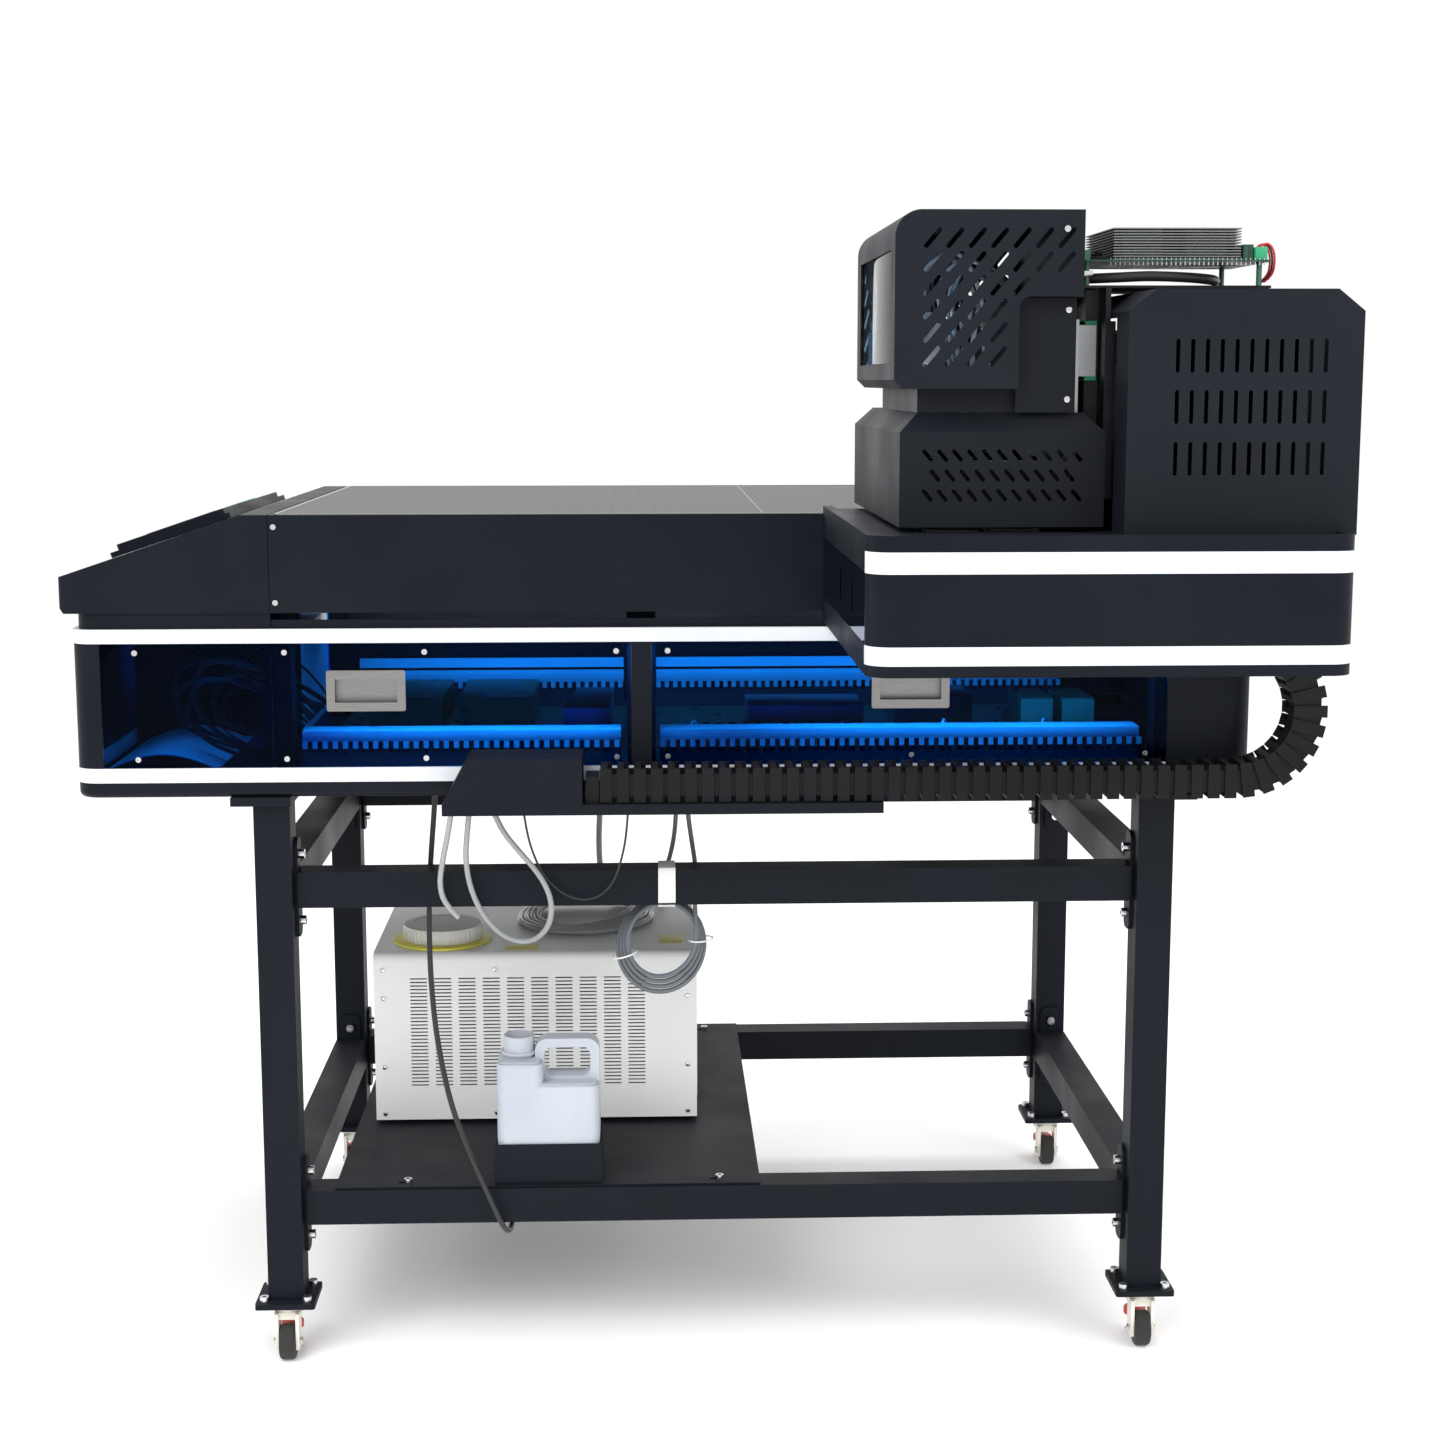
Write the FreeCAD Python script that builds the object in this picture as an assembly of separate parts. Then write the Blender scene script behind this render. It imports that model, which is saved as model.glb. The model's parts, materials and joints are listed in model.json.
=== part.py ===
import FreeCAD, Part
import math
import os

# Flatbed UV printer on a rolling stand, millimetres, +Z up.
# Machine datum while modelling: X from the outer face of the front pair of legs towards the rear,
# Y from the near face of the near legs across the machine, Z from the floor.
# Every node is moved at export so that the row frame's origin is the middle of the machine's
# footprint on the floor (ORIGIN_X, ORIGIN_Y).

V = FreeCAD.Vector
AXIS_X = V(1, 0, 0)
AXIS_Y = V(0, 1, 0)
AXIS_Z = V(0, 0, 1)

# ------------------------------------------------------------------ driving dimensions
# Stand
STAND_LENGTH = 1276.0        # over the legs, along X
STAND_DEPTH = 818.0          # over the legs, along Y
LEG_TUBE = 50.0              # square tube of the legs
RAIL_TUBE = 50.0             # square tube of the rails
TUBE_WALL = 3.0
CASTER_HEIGHT = 82.0         # floor to the underside of the foot plate
FOOT_PLATE = 84.0
FOOT_PLATE_T = 8.0
FOOT_BOLT_SPACING = 60.0
FOOT_BOLT_HOLE_R = 4.5
TOP_PLATE = 82.0
TOP_PLATE_T = 12.0
TOP_PLATE_SHIFT = 12.0       # the top plate stands out past the leg on the outside
LOWER_RAIL_TOP = 245.0
UPPER_RAIL_TOP = 706.0
RAIL_SETBACK = 16.0          # long rails sit this far behind the legs' near faces
BRACKET_T = 5.0
BRACKET_W = 34.0
BRACKET_TAB = 45.0           # bracket beyond the rail, above and below
BOLT_HEAD_R = 6.5
BOLT_HEAD_H = 8.0

# Shelf, chiller and jug
SHELF_X0, SHELF_LENGTH, SHELF_T = 95.0, 605.0, 3.0
SHELF_LIP = 18.0
CHILLER_X0, CHILLER_Y0 = 122.5, 300.0
CHILLER_LENGTH, CHILLER_DEPTH, CHILLER_HEIGHT = 494.0, 370.0, 263.0
CHILLER_WALL = 1.5
CHILLER_FOOT_H, CHILLER_FOOT_R = 6.0, 14.0
CHILLER_EDGE_R = 14.0
CAP_X, CAP_Y, CAP_R, CAP_H = 222.0, 388.0, 62.0, 24.0
CAP_RING_R, CAP_RING_H = 76.0, 3.0
FILLER_R, FILLER_H = 56.0, 14.0
JUG_X0, JUG_Y0 = 325.0, 30.0
JUG_LENGTH, JUG_DEPTH, JUG_BODY_H, JUG_WALL = 146.0, 88.0, 144.0, 2.5
JUG_SHOULDER_L, JUG_SHOULDER_H = 66.0, 176.0
JUG_NECK_R, JUG_NECK_TOP, JUG_NECK_INSET = 22.0, 206.0, 9.0
JUG_HANDLE_L, JUG_HANDLE_H, JUG_HANDLE_W, JUG_GRIP_T = 92.0, 203.0, 30.0, 13.0
JUG_SLEEVE_H, JUG_CLEAR = 58.0, 1.5

# Body of the machine
BODY_BOTTOM = CASTER_HEIGHT + FOOT_PLATE_T + 716.0 + TOP_PLATE_T
BODY_FRONT = -237.0          # lower body's front face
NOSE_OVERHANG = 13.0
BODY_REAR = 1379.0
BODY_SIDE = -12.5            # near side plane
BODY_CORNER_R = 30.0
SHEET = 2.0
PAN_H = 21.0                 # bottom band
LED_H_LOW = 20.0
WINDOW_H = 171.0
LED_H_UP = 19.0
NECK_H = 22.0                # recessed band with the arm slot at its top
PANEL_H = 132.0              # upper side panel
SLOT_H = 10.0
LED_T = 8.0
LED_PROUD = 1.0
FRONT_SEAM = 33.0            # joint between the front casing and the side panels
NOSE_RISE_END = -4.0         # top of the sloped nose
NOSE_FACE_TOP = 49.0         # nose's front face, above the panels' lower edge
NOSE_FACE_LOW = 8.0
DOOR_POST_X0, DOOR_POST_X1 = 520.0, 548.0
REAR_CASING_X = 1259.0
ACRYLIC_T = 3.0
ACRYLIC_GAP = 1.0
FRONT_PANE_X0 = -197.0
PANE_CHAMFER = 26.0
HANDLE_X = (160.0, 903.0)
HANDLE_W, HANDLE_H, HANDLE_T = 107.0, 56.0, 2.0
HANDLE_CUP_W, HANDLE_CUP_H, HANDLE_CUP_D = 84.0, 32.0, 14.0
TABLE_T = 15.0
TABLE_MARGIN = 2.5
FRAME_BEAM_W, FRAME_BEAM_H = 40.0, 100.0
FRAME_INSET = 62.0           # side plane to the table frame's beams
RAIL_BAR = 15.0              # linear rail, square section
BLOCK_L, BLOCK_W, BLOCK_H = 60.0, 34.0, 24.0
SLIDE_CLEAR = 0.1

# Gantry
GANTRY_TRAVEL = 850.0
END_BOX_X0, END_BOX_LENGTH = 781.0, 542.0
END_BOX_Y0, END_BOX_GAP = -624.0, 3.5
END_BOX_BOTTOM, END_BOX_H = 1058.0, 156.0
END_BOX_R = 28.0
END_BOX_WALL = 3.0
END_BOX_RIM = 4.0
BEAM_X0, BEAM_W = 1100.0, 180.0
BEAM_CLEAR_TABLE, BEAM_H = 65.0, 172.0
BEAM_Y0, BEAM_Y1 = -560.0, 905.0
FAR_BOX_DEPTH = 83.0
COVER_X0, COVER_X1 = 1072.0, 1334.0
COVER_Y0, COVER_Y1 = -571.0, -20.0
COVER_TOP = 1481.0
COVER_CHAMFER_X, COVER_CHAMFER_Z = 30.0, 24.0
COVER_RETURN = 66.0          # depth of the hood's side wall before its opening for the carriage

# Carriage and head
CARRIAGE_TRAVEL = 800.0
LIFT_TRAVEL = 35.0
PLATE_T = 12.0
CARRIAGE_Y0, CARRIAGE_LENGTH = -480.0, 400.0
HEAD_CLEAR = 4.0             # nozzle faces above the table
LOWER_X0, LOWER_LENGTH = 827.0, 234.0
LOWER_Y0, LOWER_DEPTH = -510.0, 534.0
LOWER_Z0, LOWER_H, LOWER_CHAMFER = 1216.0, 129.0, 22.0
UPPER_X0, UPPER_LENGTH = 818.0, 212.0
UPPER_Y0, UPPER_DEPTH = -525.0, 431.0
UPPER_Z0, UPPER_H = 1372.0, 197.0
UPPER_TOP_R, UPPER_NOTCH_X, UPPER_NOTCH_H = 30.0, 140.0, 102.0
BOARD_X0, BOARD_LENGTH, BOARD_Y0, BOARD_DEPTH = 1034.0, 226.0, -455.0, 190.0
BOARD_Z, BOARD_T = 1516.0, 2.0

# Drag chain
CHAIN_R = 94.5
CHAIN_LOOP_LINKS, CHAIN_LOWER_LINKS, CHAIN_UPPER_LINKS = 13, 38, 4
CHAIN_H, CHAIN_W = 46.0, 58.0
LINK_END = 3.3               # side plate's end back from the link's joint
CHAIN_Y0 = -96.0
CHAIN_BEND_X = 1340.0
CHAIN_GAP = 0.5              # chain's upper run below the end box
PLATE_LAYER = 2.4            # one layer of a chain link's side plate
TRAY_X0, TRAY_LENGTH, TRAY_T, TRAY_LIP = 267.0, 591.0, 3.0, 14.0

# Drives
SCREW_R, SCREW_CLEAR = 8.0, 0.05
LIFT_SCREW_R = 5.0

# ------------------------------------------------------------------ places worked out from them
MID_Y = STAND_DEPTH / 2
BODY_FAR = 2 * MID_Y - BODY_SIDE
LEG_BOTTOM = CASTER_HEIGHT + FOOT_PLATE_T
LEG_TOP = BODY_BOTTOM - TOP_PLATE_T
LOW_LED_Z = BODY_BOTTOM + PAN_H
WINDOW_Z = LOW_LED_Z + LED_H_LOW
UP_LED_Z = WINDOW_Z + WINDOW_H
NECK_Z = UP_LED_Z + LED_H_UP
PANEL_Z = NECK_Z + NECK_H
SLOT_Z = PANEL_Z - SLOT_H
TABLE_TOP = PANEL_Z + PANEL_H
TABLE_BOTTOM = TABLE_TOP - TABLE_T
NOSE_X = BODY_FRONT - NOSE_OVERHANG
PANE_Z0 = WINDOW_Z + ACRYLIC_GAP / 2
PANE_Z1 = UP_LED_Z - ACRYLIC_GAP / 2
FRAME_Y = BODY_SIDE + FRAME_INSET
FRAME_Z0 = TABLE_BOTTOM - FRAME_BEAM_H
SHELF_TOP = LOWER_RAIL_TOP + SHELF_T
END_BOX_X1 = END_BOX_X0 + END_BOX_LENGTH
END_BOX_Y1 = BODY_SIDE - END_BOX_GAP
END_BOX_TOP = END_BOX_BOTTOM + END_BOX_H
DECK_TOP = END_BOX_TOP - END_BOX_RIM
BEAM_X1 = BEAM_X0 + BEAM_W
BEAM_Z0 = TABLE_TOP + BEAM_CLEAR_TABLE
BEAM_Z1 = BEAM_Z0 + BEAM_H
RAIL_FACE_X = BEAM_X0 - RAIL_BAR
CARRIAGE_X1 = BEAM_X0 - BLOCK_H
CARRIAGE_X0 = CARRIAGE_X1 - PLATE_T
CARRIAGE_Y1 = CARRIAGE_Y0 + CARRIAGE_LENGTH
CARRIAGE_Z0, CARRIAGE_Z1 = BEAM_Z0 - 22.0, COVER_TOP + 5.0
HEAD_Z = TABLE_TOP + HEAD_CLEAR
FAR_BOX_Y0 = BODY_FAR + END_BOX_GAP
FAR_BOX_Y1 = FAR_BOX_Y0 + FAR_BOX_DEPTH
CHAIN_PITCH = 2 * CHAIN_R * math.sin(math.pi / (2 * CHAIN_LOOP_LINKS))
CHAIN_TOP_Z = END_BOX_BOTTOM - CHAIN_GAP - CHAIN_H / 2
CHAIN_LOW_Z = CHAIN_TOP_Z - 2 * CHAIN_R
CHAIN_FIXED_X = CHAIN_BEND_X - CHAIN_LOWER_LINKS * CHAIN_PITCH
SCREW_Y = FRAME_Y - RAIL_BAR + 1.0
SCREW_Z = FRAME_Z0 - 3.0
ORIGIN_X = (NOSE_X + CHAIN_BEND_X + CHAIN_R + CHAIN_H / 2) / 2
ORIGIN_Y = (END_BOX_Y0 + FAR_BOX_Y1) / 2


# ------------------------------------------------------------------ shape helpers
def box(x0, x1, y0, y1, z0, z1):
    """Box between two corners."""
    return Part.makeBox(x1 - x0, y1 - y0, z1 - z0, V(x0, y0, z0))


def rod(x, y, z, radius, length, axis=AXIS_Z):
    """Cylinder from a point along an axis."""
    return Part.makeCylinder(radius, length, V(x, y, z), axis)


def fused(shapes):
    """One solid out of touching shapes."""
    return shapes[0].multiFuse(shapes[1:]).removeSplitter()


def cut(shape, tools):
    """A shape less a list of tools."""
    return shape.cut(Part.makeCompound(tools))


def prism_y(points, y0, y1):
    """Outline of (x, z) points, extruded from y0 to y1."""
    ring = [V(x, y0, z) for x, z in points]
    return Part.Face(Part.makePolygon(ring + ring[:1])).extrude(V(0, y1 - y0, 0))


def upright_edges(shape):
    """Edges that run along Z."""
    return [e for e in shape.Edges
            if len(e.Vertexes) == 2 and abs(e.tangentAt(e.FirstParameter).z) > 0.999]


def rounded_box(x0, x1, y0, y1, z0, z1, radius, keep=lambda edge: True):
    """Box with its upright edges rounded, or those that keep picks."""
    shape = box(x0, x1, y0, y1, z0, z1)
    return shape.makeFillet(radius, [e for e in upright_edges(shape) if keep(e)])


def tube_box(x0, x1, y0, y1, z0, z1, wall, along):
    """Rectangular tube, open at both ends along the named axis."""
    dx, dy, dz = (0 if along == name else wall for name in "xyz")
    inner = box(x0 + dx, x1 - dx, y0 + dy, y1 - dy, z0 + dz, z1 - dz)
    return box(x0, x1, y0, y1, z0, z1).cut(inner)


def mirrored(shape):
    """The same shape on the far side of the machine."""
    return shape.mirror(V(0, MID_Y, 0), AXIS_Y)


def both_sides(shape):
    """A near-side shape and its far-side twin."""
    return [shape, mirrored(shape)]


def slot_y(x, z, length, width, angle, y0, y1):
    """Cutter for a round-ended slot in a wall facing Y, turned by an angle in degrees."""
    half = (length - width) / 2
    bar = fused([box(-half, half, y0, y1, -width / 2, width / 2),
                 rod(-half, y0, 0, width / 2, y1 - y0, AXIS_Y),
                 rod(half, y0, 0, width / 2, y1 - y0, AXIS_Y)])
    bar.rotate(V(0, 0, 0), AXIS_Y, angle)
    bar.translate(V(x, 0, z))
    return bar


def solids_of(shapes):
    """Every solid held by a list of shapes."""
    return [solid for shape in shapes for solid in shape.Solids]


NODES = {}


def save(node, shapes):
    """Write a node's solids in the row frame."""
    solids = [s.copy() for s in solids_of(shapes)]
    for solid in solids:
        solid.translate(V(-ORIGIN_X, -ORIGIN_Y, 0))
        assert solid.isValid() and solid.Volume > 0, node
    NODES[node] = solids
    shape = solids[0] if len(solids) == 1 else Part.makeCompound(solids)
    shape.exportStep("parts/%s.step" % node)


# ------------------------------------------------------------------ stand
LEG_X = (0.0, STAND_LENGTH - LEG_TUBE)
LEG_Y = (0.0, STAND_DEPTH - LEG_TUBE)
RAIL_TOPS = (LOWER_RAIL_TOP, UPPER_RAIL_TOP)


def leg_centre(x0, y0):
    """Centre of the leg that starts at a corner."""
    return x0 + LEG_TUBE / 2, y0 + LEG_TUBE / 2


def plate_with_holes(cx, cy, size, z0, z1, spacing, radius):
    """Square plate with four holes."""
    plate = rounded_box(cx - size / 2, cx + size / 2, cy - size / 2, cy + size / 2, z0, z1, 4.0)
    holes = [rod(cx + i * spacing / 2, cy + j * spacing / 2, z0 - 1, radius, z1 - z0 + 2)
             for i in (-1, 1) for j in (-1, 1)]
    return cut(plate, holes)


def make_leg(x0, y0):
    """Leg tube with its welded foot plate and top plate."""
    cx, cy = leg_centre(x0, y0)
    shift = -TOP_PLATE_SHIFT if x0 == 0 else TOP_PLATE_SHIFT
    foot = plate_with_holes(cx, cy, FOOT_PLATE, CASTER_HEIGHT, LEG_BOTTOM,
                            FOOT_BOLT_SPACING, FOOT_BOLT_HOLE_R)
    half = TOP_PLATE / 2
    top = box(cx + shift - half, cx + shift + half, cy - half, cy + half, LEG_TOP, BODY_BOTTOM)
    tube = tube_box(x0, x0 + LEG_TUBE, y0, y0 + LEG_TUBE, LEG_BOTTOM, LEG_TOP, TUBE_WALL, "z")
    return fused([tube, foot, top])


def make_rails():
    """Long rails between the leg pairs and side rails across the machine."""
    rails = []
    for top in RAIL_TOPS:
        z0 = top - RAIL_TUBE
        for y0 in LEG_Y:
            ry = y0 + RAIL_SETBACK
            rails.append(tube_box(LEG_TUBE + BRACKET_T, STAND_LENGTH - LEG_TUBE - BRACKET_T,
                                  ry, ry + RAIL_TUBE, z0, top, TUBE_WALL, "x"))
        for x0 in LEG_X:
            rails.append(tube_box(x0, x0 + RAIL_TUBE, LEG_TUBE + BRACKET_T,
                                  STAND_DEPTH - LEG_TUBE - BRACKET_T, z0, top, TUBE_WALL, "y"))
    return rails


def long_bracket(x0, y0, top):
    """Upright plate on a leg's inner face that carries the end of a long rail."""
    mid = y0 + RAIL_SETBACK + RAIL_TUBE / 2
    z0, z1 = top - RAIL_TUBE - BRACKET_TAB, top + BRACKET_TAB
    plate = box(x0, x0 + BRACKET_T, mid - BRACKET_W / 2, mid + BRACKET_W / 2, z0, z1)
    corners = [e for e in plate.Edges if abs(e.tangentAt(e.FirstParameter).x) > 0.999]
    plate = plate.makeFillet(BRACKET_W / 3, corners)
    bolts_y = min(mid, y0 + LEG_TUBE - BOLT_HEAD_R - 3)
    holes = [rod(x0 - 1, bolts_y, z, 4.5, BRACKET_T + 2, AXIS_X)
             for z in (z0 + BRACKET_TAB / 2, z1 - BRACKET_TAB / 2)]
    return cut(plate, holes), [(bolts_y, z0 + BRACKET_TAB / 2), (bolts_y, z1 - BRACKET_TAB / 2)]


def side_bracket(x0, y0, top):
    """The same plate for a side rail, on a leg's face towards the other leg."""
    mid = x0 + LEG_TUBE / 2
    z0, z1 = top - RAIL_TUBE - BRACKET_TAB, top + BRACKET_TAB
    plate = box(mid - BRACKET_W / 2, mid + BRACKET_W / 2, y0, y0 + BRACKET_T, z0, z1)
    corners = [e for e in plate.Edges if abs(e.tangentAt(e.FirstParameter).y) > 0.999]
    plate = plate.makeFillet(BRACKET_W / 3, corners)
    spots = [(mid, z0 + BRACKET_TAB / 2), (mid, z1 - BRACKET_TAB / 2)]
    return cut(plate, [rod(x, y0 - 1, z, 4.5, BRACKET_T + 2, AXIS_Y) for x, z in spots]), spots


def socket_bolt(x, y, z, axis, radius=BOLT_HEAD_R, height=BOLT_HEAD_H):
    """Socket-head bolt's head standing on a face, with its hexagon recess."""
    head = Part.makeCylinder(radius, height, V(x, y, z), axis)
    key = Part.makeCylinder(radius * 0.45, height, V(x, y, z) + axis * (height * 0.5), axis)
    return head.cut(key)


brackets, fasteners = [], []
for rail_top in RAIL_TOPS:
    for leg_y in LEG_Y:
        for inner_x, outward in ((LEG_TUBE, 1), (STAND_LENGTH - LEG_TUBE - BRACKET_T, -1)):
            plate, spots = long_bracket(inner_x, leg_y, rail_top)
            brackets.append(plate)
            face = inner_x + BRACKET_T if outward > 0 else inner_x
            fasteners += [socket_bolt(face, by, bz, AXIS_X * outward) for by, bz in spots]
    for leg_x in LEG_X:
        for inner_y, outward in ((LEG_TUBE, 1), (STAND_DEPTH - LEG_TUBE - BRACKET_T, -1)):
            plate, spots = side_bracket(leg_x, inner_y, rail_top)
            brackets.append(plate)
            face = inner_y + BRACKET_T if outward > 0 else inner_y
            fasteners += [socket_bolt(bx, face, bz, AXIS_Y * outward) for bx, bz in spots]
for leg_x in LEG_X:
    for leg_y in LEG_Y:
        leg_cx, leg_cy = leg_centre(leg_x, leg_y)
        for i in (-1, 1):
            for j in (-1, 1):
                fasteners.append(socket_bolt(leg_cx + i * FOOT_BOLT_SPACING / 2,
                                             leg_cy + j * FOOT_BOLT_SPACING / 2,
                                             LEG_BOTTOM, AXIS_Z))

# ------------------------------------------------------------------ shelf, chiller, jug
SHELF_BOLTS = [(SHELF_X0 + 102.0, RAIL_SETBACK + 22.0), (SHELF_X0 + 547.0, RAIL_SETBACK + 22.0),
               (SHELF_X0 + 102.0, STAND_DEPTH - 24.0), (SHELF_X0 + 547.0, STAND_DEPTH - 24.0)]
SHELF_Y0, SHELF_Y1 = RAIL_SETBACK + 4.0, STAND_DEPTH - LEG_TUBE + RAIL_SETBACK + RAIL_TUBE - 4.0


def make_shelf():
    """Shelf plate over the lower rails, with the jug's welded sleeve."""
    x1 = SHELF_X0 + SHELF_LENGTH
    plate = box(SHELF_X0, x1, SHELF_Y0, SHELF_Y1, LOWER_RAIL_TOP, SHELF_TOP)
    lips = [box(SHELF_X0, SHELF_X0 + SHELF_T, SHELF_Y0 + RAIL_TUBE + 6,
                SHELF_Y1 - RAIL_TUBE - 6, LOWER_RAIL_TOP - SHELF_LIP, SHELF_TOP),
            box(x1 - SHELF_T, x1, SHELF_Y0 + RAIL_TUBE + 6,
                SHELF_Y1 - RAIL_TUBE - 6, LOWER_RAIL_TOP - SHELF_LIP, SHELF_TOP)]
    sleeve_x0, sleeve_x1 = JUG_X0 - JUG_CLEAR, JUG_X0 + JUG_LENGTH + JUG_CLEAR
    sleeve_y0, sleeve_y1 = JUG_Y0 - JUG_CLEAR, JUG_Y0 + JUG_DEPTH + JUG_CLEAR
    sleeve = tube_box(sleeve_x0 - SHEET, sleeve_x1 + SHEET, sleeve_y0 - SHEET, sleeve_y1 + SHEET,
                      SHELF_TOP, SHELF_TOP + JUG_SLEEVE_H, SHEET, "z")
    slots = []
    for bx, by in SHELF_BOLTS:
        slots.append(box(bx - 14, bx + 4, by - 3.2, by + 3.2, LOWER_RAIL_TOP - 1, SHELF_TOP + 1))
    return cut(fused([plate, sleeve] + lips), slots)


for bolt_x, bolt_y in SHELF_BOLTS:
    fasteners.append(socket_bolt(bolt_x, bolt_y, SHELF_TOP, AXIS_Z, 6.0, 6.0))

CHILLER_Z0 = SHELF_TOP + CHILLER_FOOT_H
CHILLER_Z1 = CHILLER_Z0 + CHILLER_HEIGHT
CHILLER_X1, CHILLER_Y1 = CHILLER_X0 + CHILLER_LENGTH, CHILLER_Y0 + CHILLER_DEPTH
VENT_COLUMNS, VENT_ROWS = 10, 31
VENT_W, VENT_H, VENT_PITCH_X, VENT_PITCH_Z = 26.0, 2.0, 37.0, 5.6
VENT_LEFT, VENT_RISE = 12.0, 54.0     # louvres left of the middle, and above the base


def make_chiller():
    """Folded-sheet chiller casing with a louvred front, a filler boss and four feet."""
    outer = box(CHILLER_X0, CHILLER_X1, CHILLER_Y0, CHILLER_Y1, CHILLER_Z0, CHILLER_Z1)
    top_edges = [e for e in outer.Edges if e.CenterOfMass.z > CHILLER_Z1 - 1
                 and abs(e.tangentAt(e.FirstParameter).x) > 0.999]
    outer = outer.makeFillet(CHILLER_EDGE_R, top_edges)
    w = CHILLER_WALL
    inner = box(CHILLER_X0 + w, CHILLER_X1 - w, CHILLER_Y0 + CHILLER_EDGE_R * 0.4,
                CHILLER_Y1 - CHILLER_EDGE_R * 0.4, CHILLER_Z0 + w, CHILLER_Z1 - CHILLER_EDGE_R * 0.4)
    first_x = CHILLER_X0 + (CHILLER_LENGTH - (VENT_COLUMNS - 1) * VENT_PITCH_X) / 2 - VENT_LEFT
    first_z = CHILLER_Z0 + VENT_RISE
    vents = []
    for column in range(VENT_COLUMNS):
        for row in range(VENT_ROWS):
            x = first_x + column * VENT_PITCH_X
            z = first_z + row * VENT_PITCH_Z
            vents.append(box(x - VENT_W / 2, x + VENT_W / 2, CHILLER_Y0 - 1, CHILLER_Y0 + 4.0,
                             z, z + VENT_H))
    shell = cut(outer.cut(inner), vents)
    boss = rod(CAP_X, CAP_Y, CHILLER_Z1, FILLER_R, FILLER_H)
    feet = [rod(x, y, SHELF_TOP, CHILLER_FOOT_R, CHILLER_FOOT_H)
            for x in (CHILLER_X0 + 40, CHILLER_X1 - 40) for y in (CHILLER_Y0 + 40, CHILLER_Y1 - 40)]
    return [fused([shell, boss] + feet)]


def make_cap():
    """Round filler cap with its coloured flange, a cup over the boss."""
    z0 = CHILLER_Z1 + 0.3
    cap = fused([rod(CAP_X, CAP_Y, z0, CAP_RING_R, CAP_RING_H),
                 rod(CAP_X, CAP_Y, z0 + CAP_RING_H, CAP_R, CAP_H)])
    top = [e for e in cap.Edges if abs(e.CenterOfMass.z - z0 - CAP_RING_H - CAP_H) < 0.1]
    cap = cap.makeFillet(4.0, top)
    return cap.cut(rod(CAP_X, CAP_Y, z0 - 1, FILLER_R + 0.6, FILLER_H + 1.4))


def make_jug():
    """Blow-moulded jug: hollow body, open neck and a handle with a finger hole."""
    z0 = SHELF_TOP + 0.5
    x1, y1 = JUG_X0 + JUG_LENGTH, JUG_Y0 + JUG_DEPTH
    w = JUG_WALL
    shoulder_x = JUG_X0 + JUG_SHOULDER_L
    masses, hollows = [], []
    for x_end, height in ((x1, JUG_BODY_H), (shoulder_x, JUG_SHOULDER_H)):
        mass = rounded_box(JUG_X0, x_end, JUG_Y0, y1, z0, z0 + height, 14.0)
        masses.append(mass.makeFillet(9.0, [e for e in mass.Edges
                                            if e.BoundBox.ZMin > z0 + height - 1]))
        hollows.append(rounded_box(JUG_X0 + w, x_end - w, JUG_Y0 + w, y1 - w, z0 + w,
                                   z0 + height - w, 11.0))
    mid_y = (JUG_Y0 + y1) / 2
    neck_x = JUG_X0 + JUG_NECK_R + JUG_NECK_INSET
    neck_h = JUG_NECK_TOP - JUG_SHOULDER_H
    neck = rod(neck_x, mid_y, z0 + JUG_SHOULDER_H - 1, JUG_NECK_R, neck_h + 1)
    collar = rod(neck_x, mid_y, z0 + JUG_SHOULDER_H + 4, JUG_NECK_R + 3.5, 4)
    arch = box(x1 - JUG_HANDLE_L, x1, mid_y - JUG_HANDLE_W / 2, mid_y + JUG_HANDLE_W / 2,
               z0 + JUG_BODY_H - 10, z0 + JUG_HANDLE_H)
    crown = [e for e in arch.Edges if abs(e.tangentAt(e.FirstParameter).y) > 0.999
             and e.CenterOfMass.z > z0 + JUG_BODY_H]
    arch = arch.makeFillet(18.0, crown)
    hole = box(x1 - JUG_HANDLE_L + JUG_GRIP_T, x1 - JUG_GRIP_T, mid_y - 20, mid_y + 20,
               z0 + JUG_BODY_H + 4, z0 + JUG_HANDLE_H - JUG_GRIP_T + 1)
    across = [e for e in hole.Edges if abs(e.tangentAt(e.FirstParameter).y) > 0.999]
    hole = hole.makeFillet(12.0, across)
    bore = rod(neck_x, mid_y, z0 + JUG_SHOULDER_H - 6, JUG_NECK_R - w, neck_h + 7)
    return cut(fused(masses + [neck, collar, arch]), hollows + [bore, hole])


# ------------------------------------------------------------------ body casings
def make_base_pan():
    """Shallow bottom tray of the machine."""
    outer = rounded_box(BODY_FRONT, BODY_REAR, BODY_SIDE, BODY_FAR, BODY_BOTTOM, LOW_LED_Z,
                        BODY_CORNER_R)
    outer = outer.makeFillet(8.0, [e for e in outer.Edges if e.BoundBox.ZMax < BODY_BOTTOM + 1])
    inner = rounded_box(BODY_FRONT + 9, BODY_REAR - 9, BODY_SIDE + 9, BODY_FAR - 9,
                        BODY_BOTTOM + 3, LOW_LED_Z + 1, BODY_CORNER_R - 9)
    return outer.cut(inner)


def make_u_shell(x0, x1, z0, z1, inset, front):
    """Sheet that wraps round one end of the body: a face and two short returns."""
    near, far = BODY_SIDE + inset, BODY_FAR - inset
    shift = SHEET if front else -SHEET

    def rounded(edge):
        return edge.CenterOfMass.x < x0 + 3 if front else edge.CenterOfMass.x > x1 - 3

    outer = rounded_box(x0, x1, near, far, z0, z1, BODY_CORNER_R, rounded)
    inner = rounded_box(x0 + shift, x1 + shift, near + SHEET, far - SHEET, z0 - 1, z1 + 1,
                        BODY_CORNER_R - SHEET, rounded)
    return outer.cut(inner)


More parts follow.
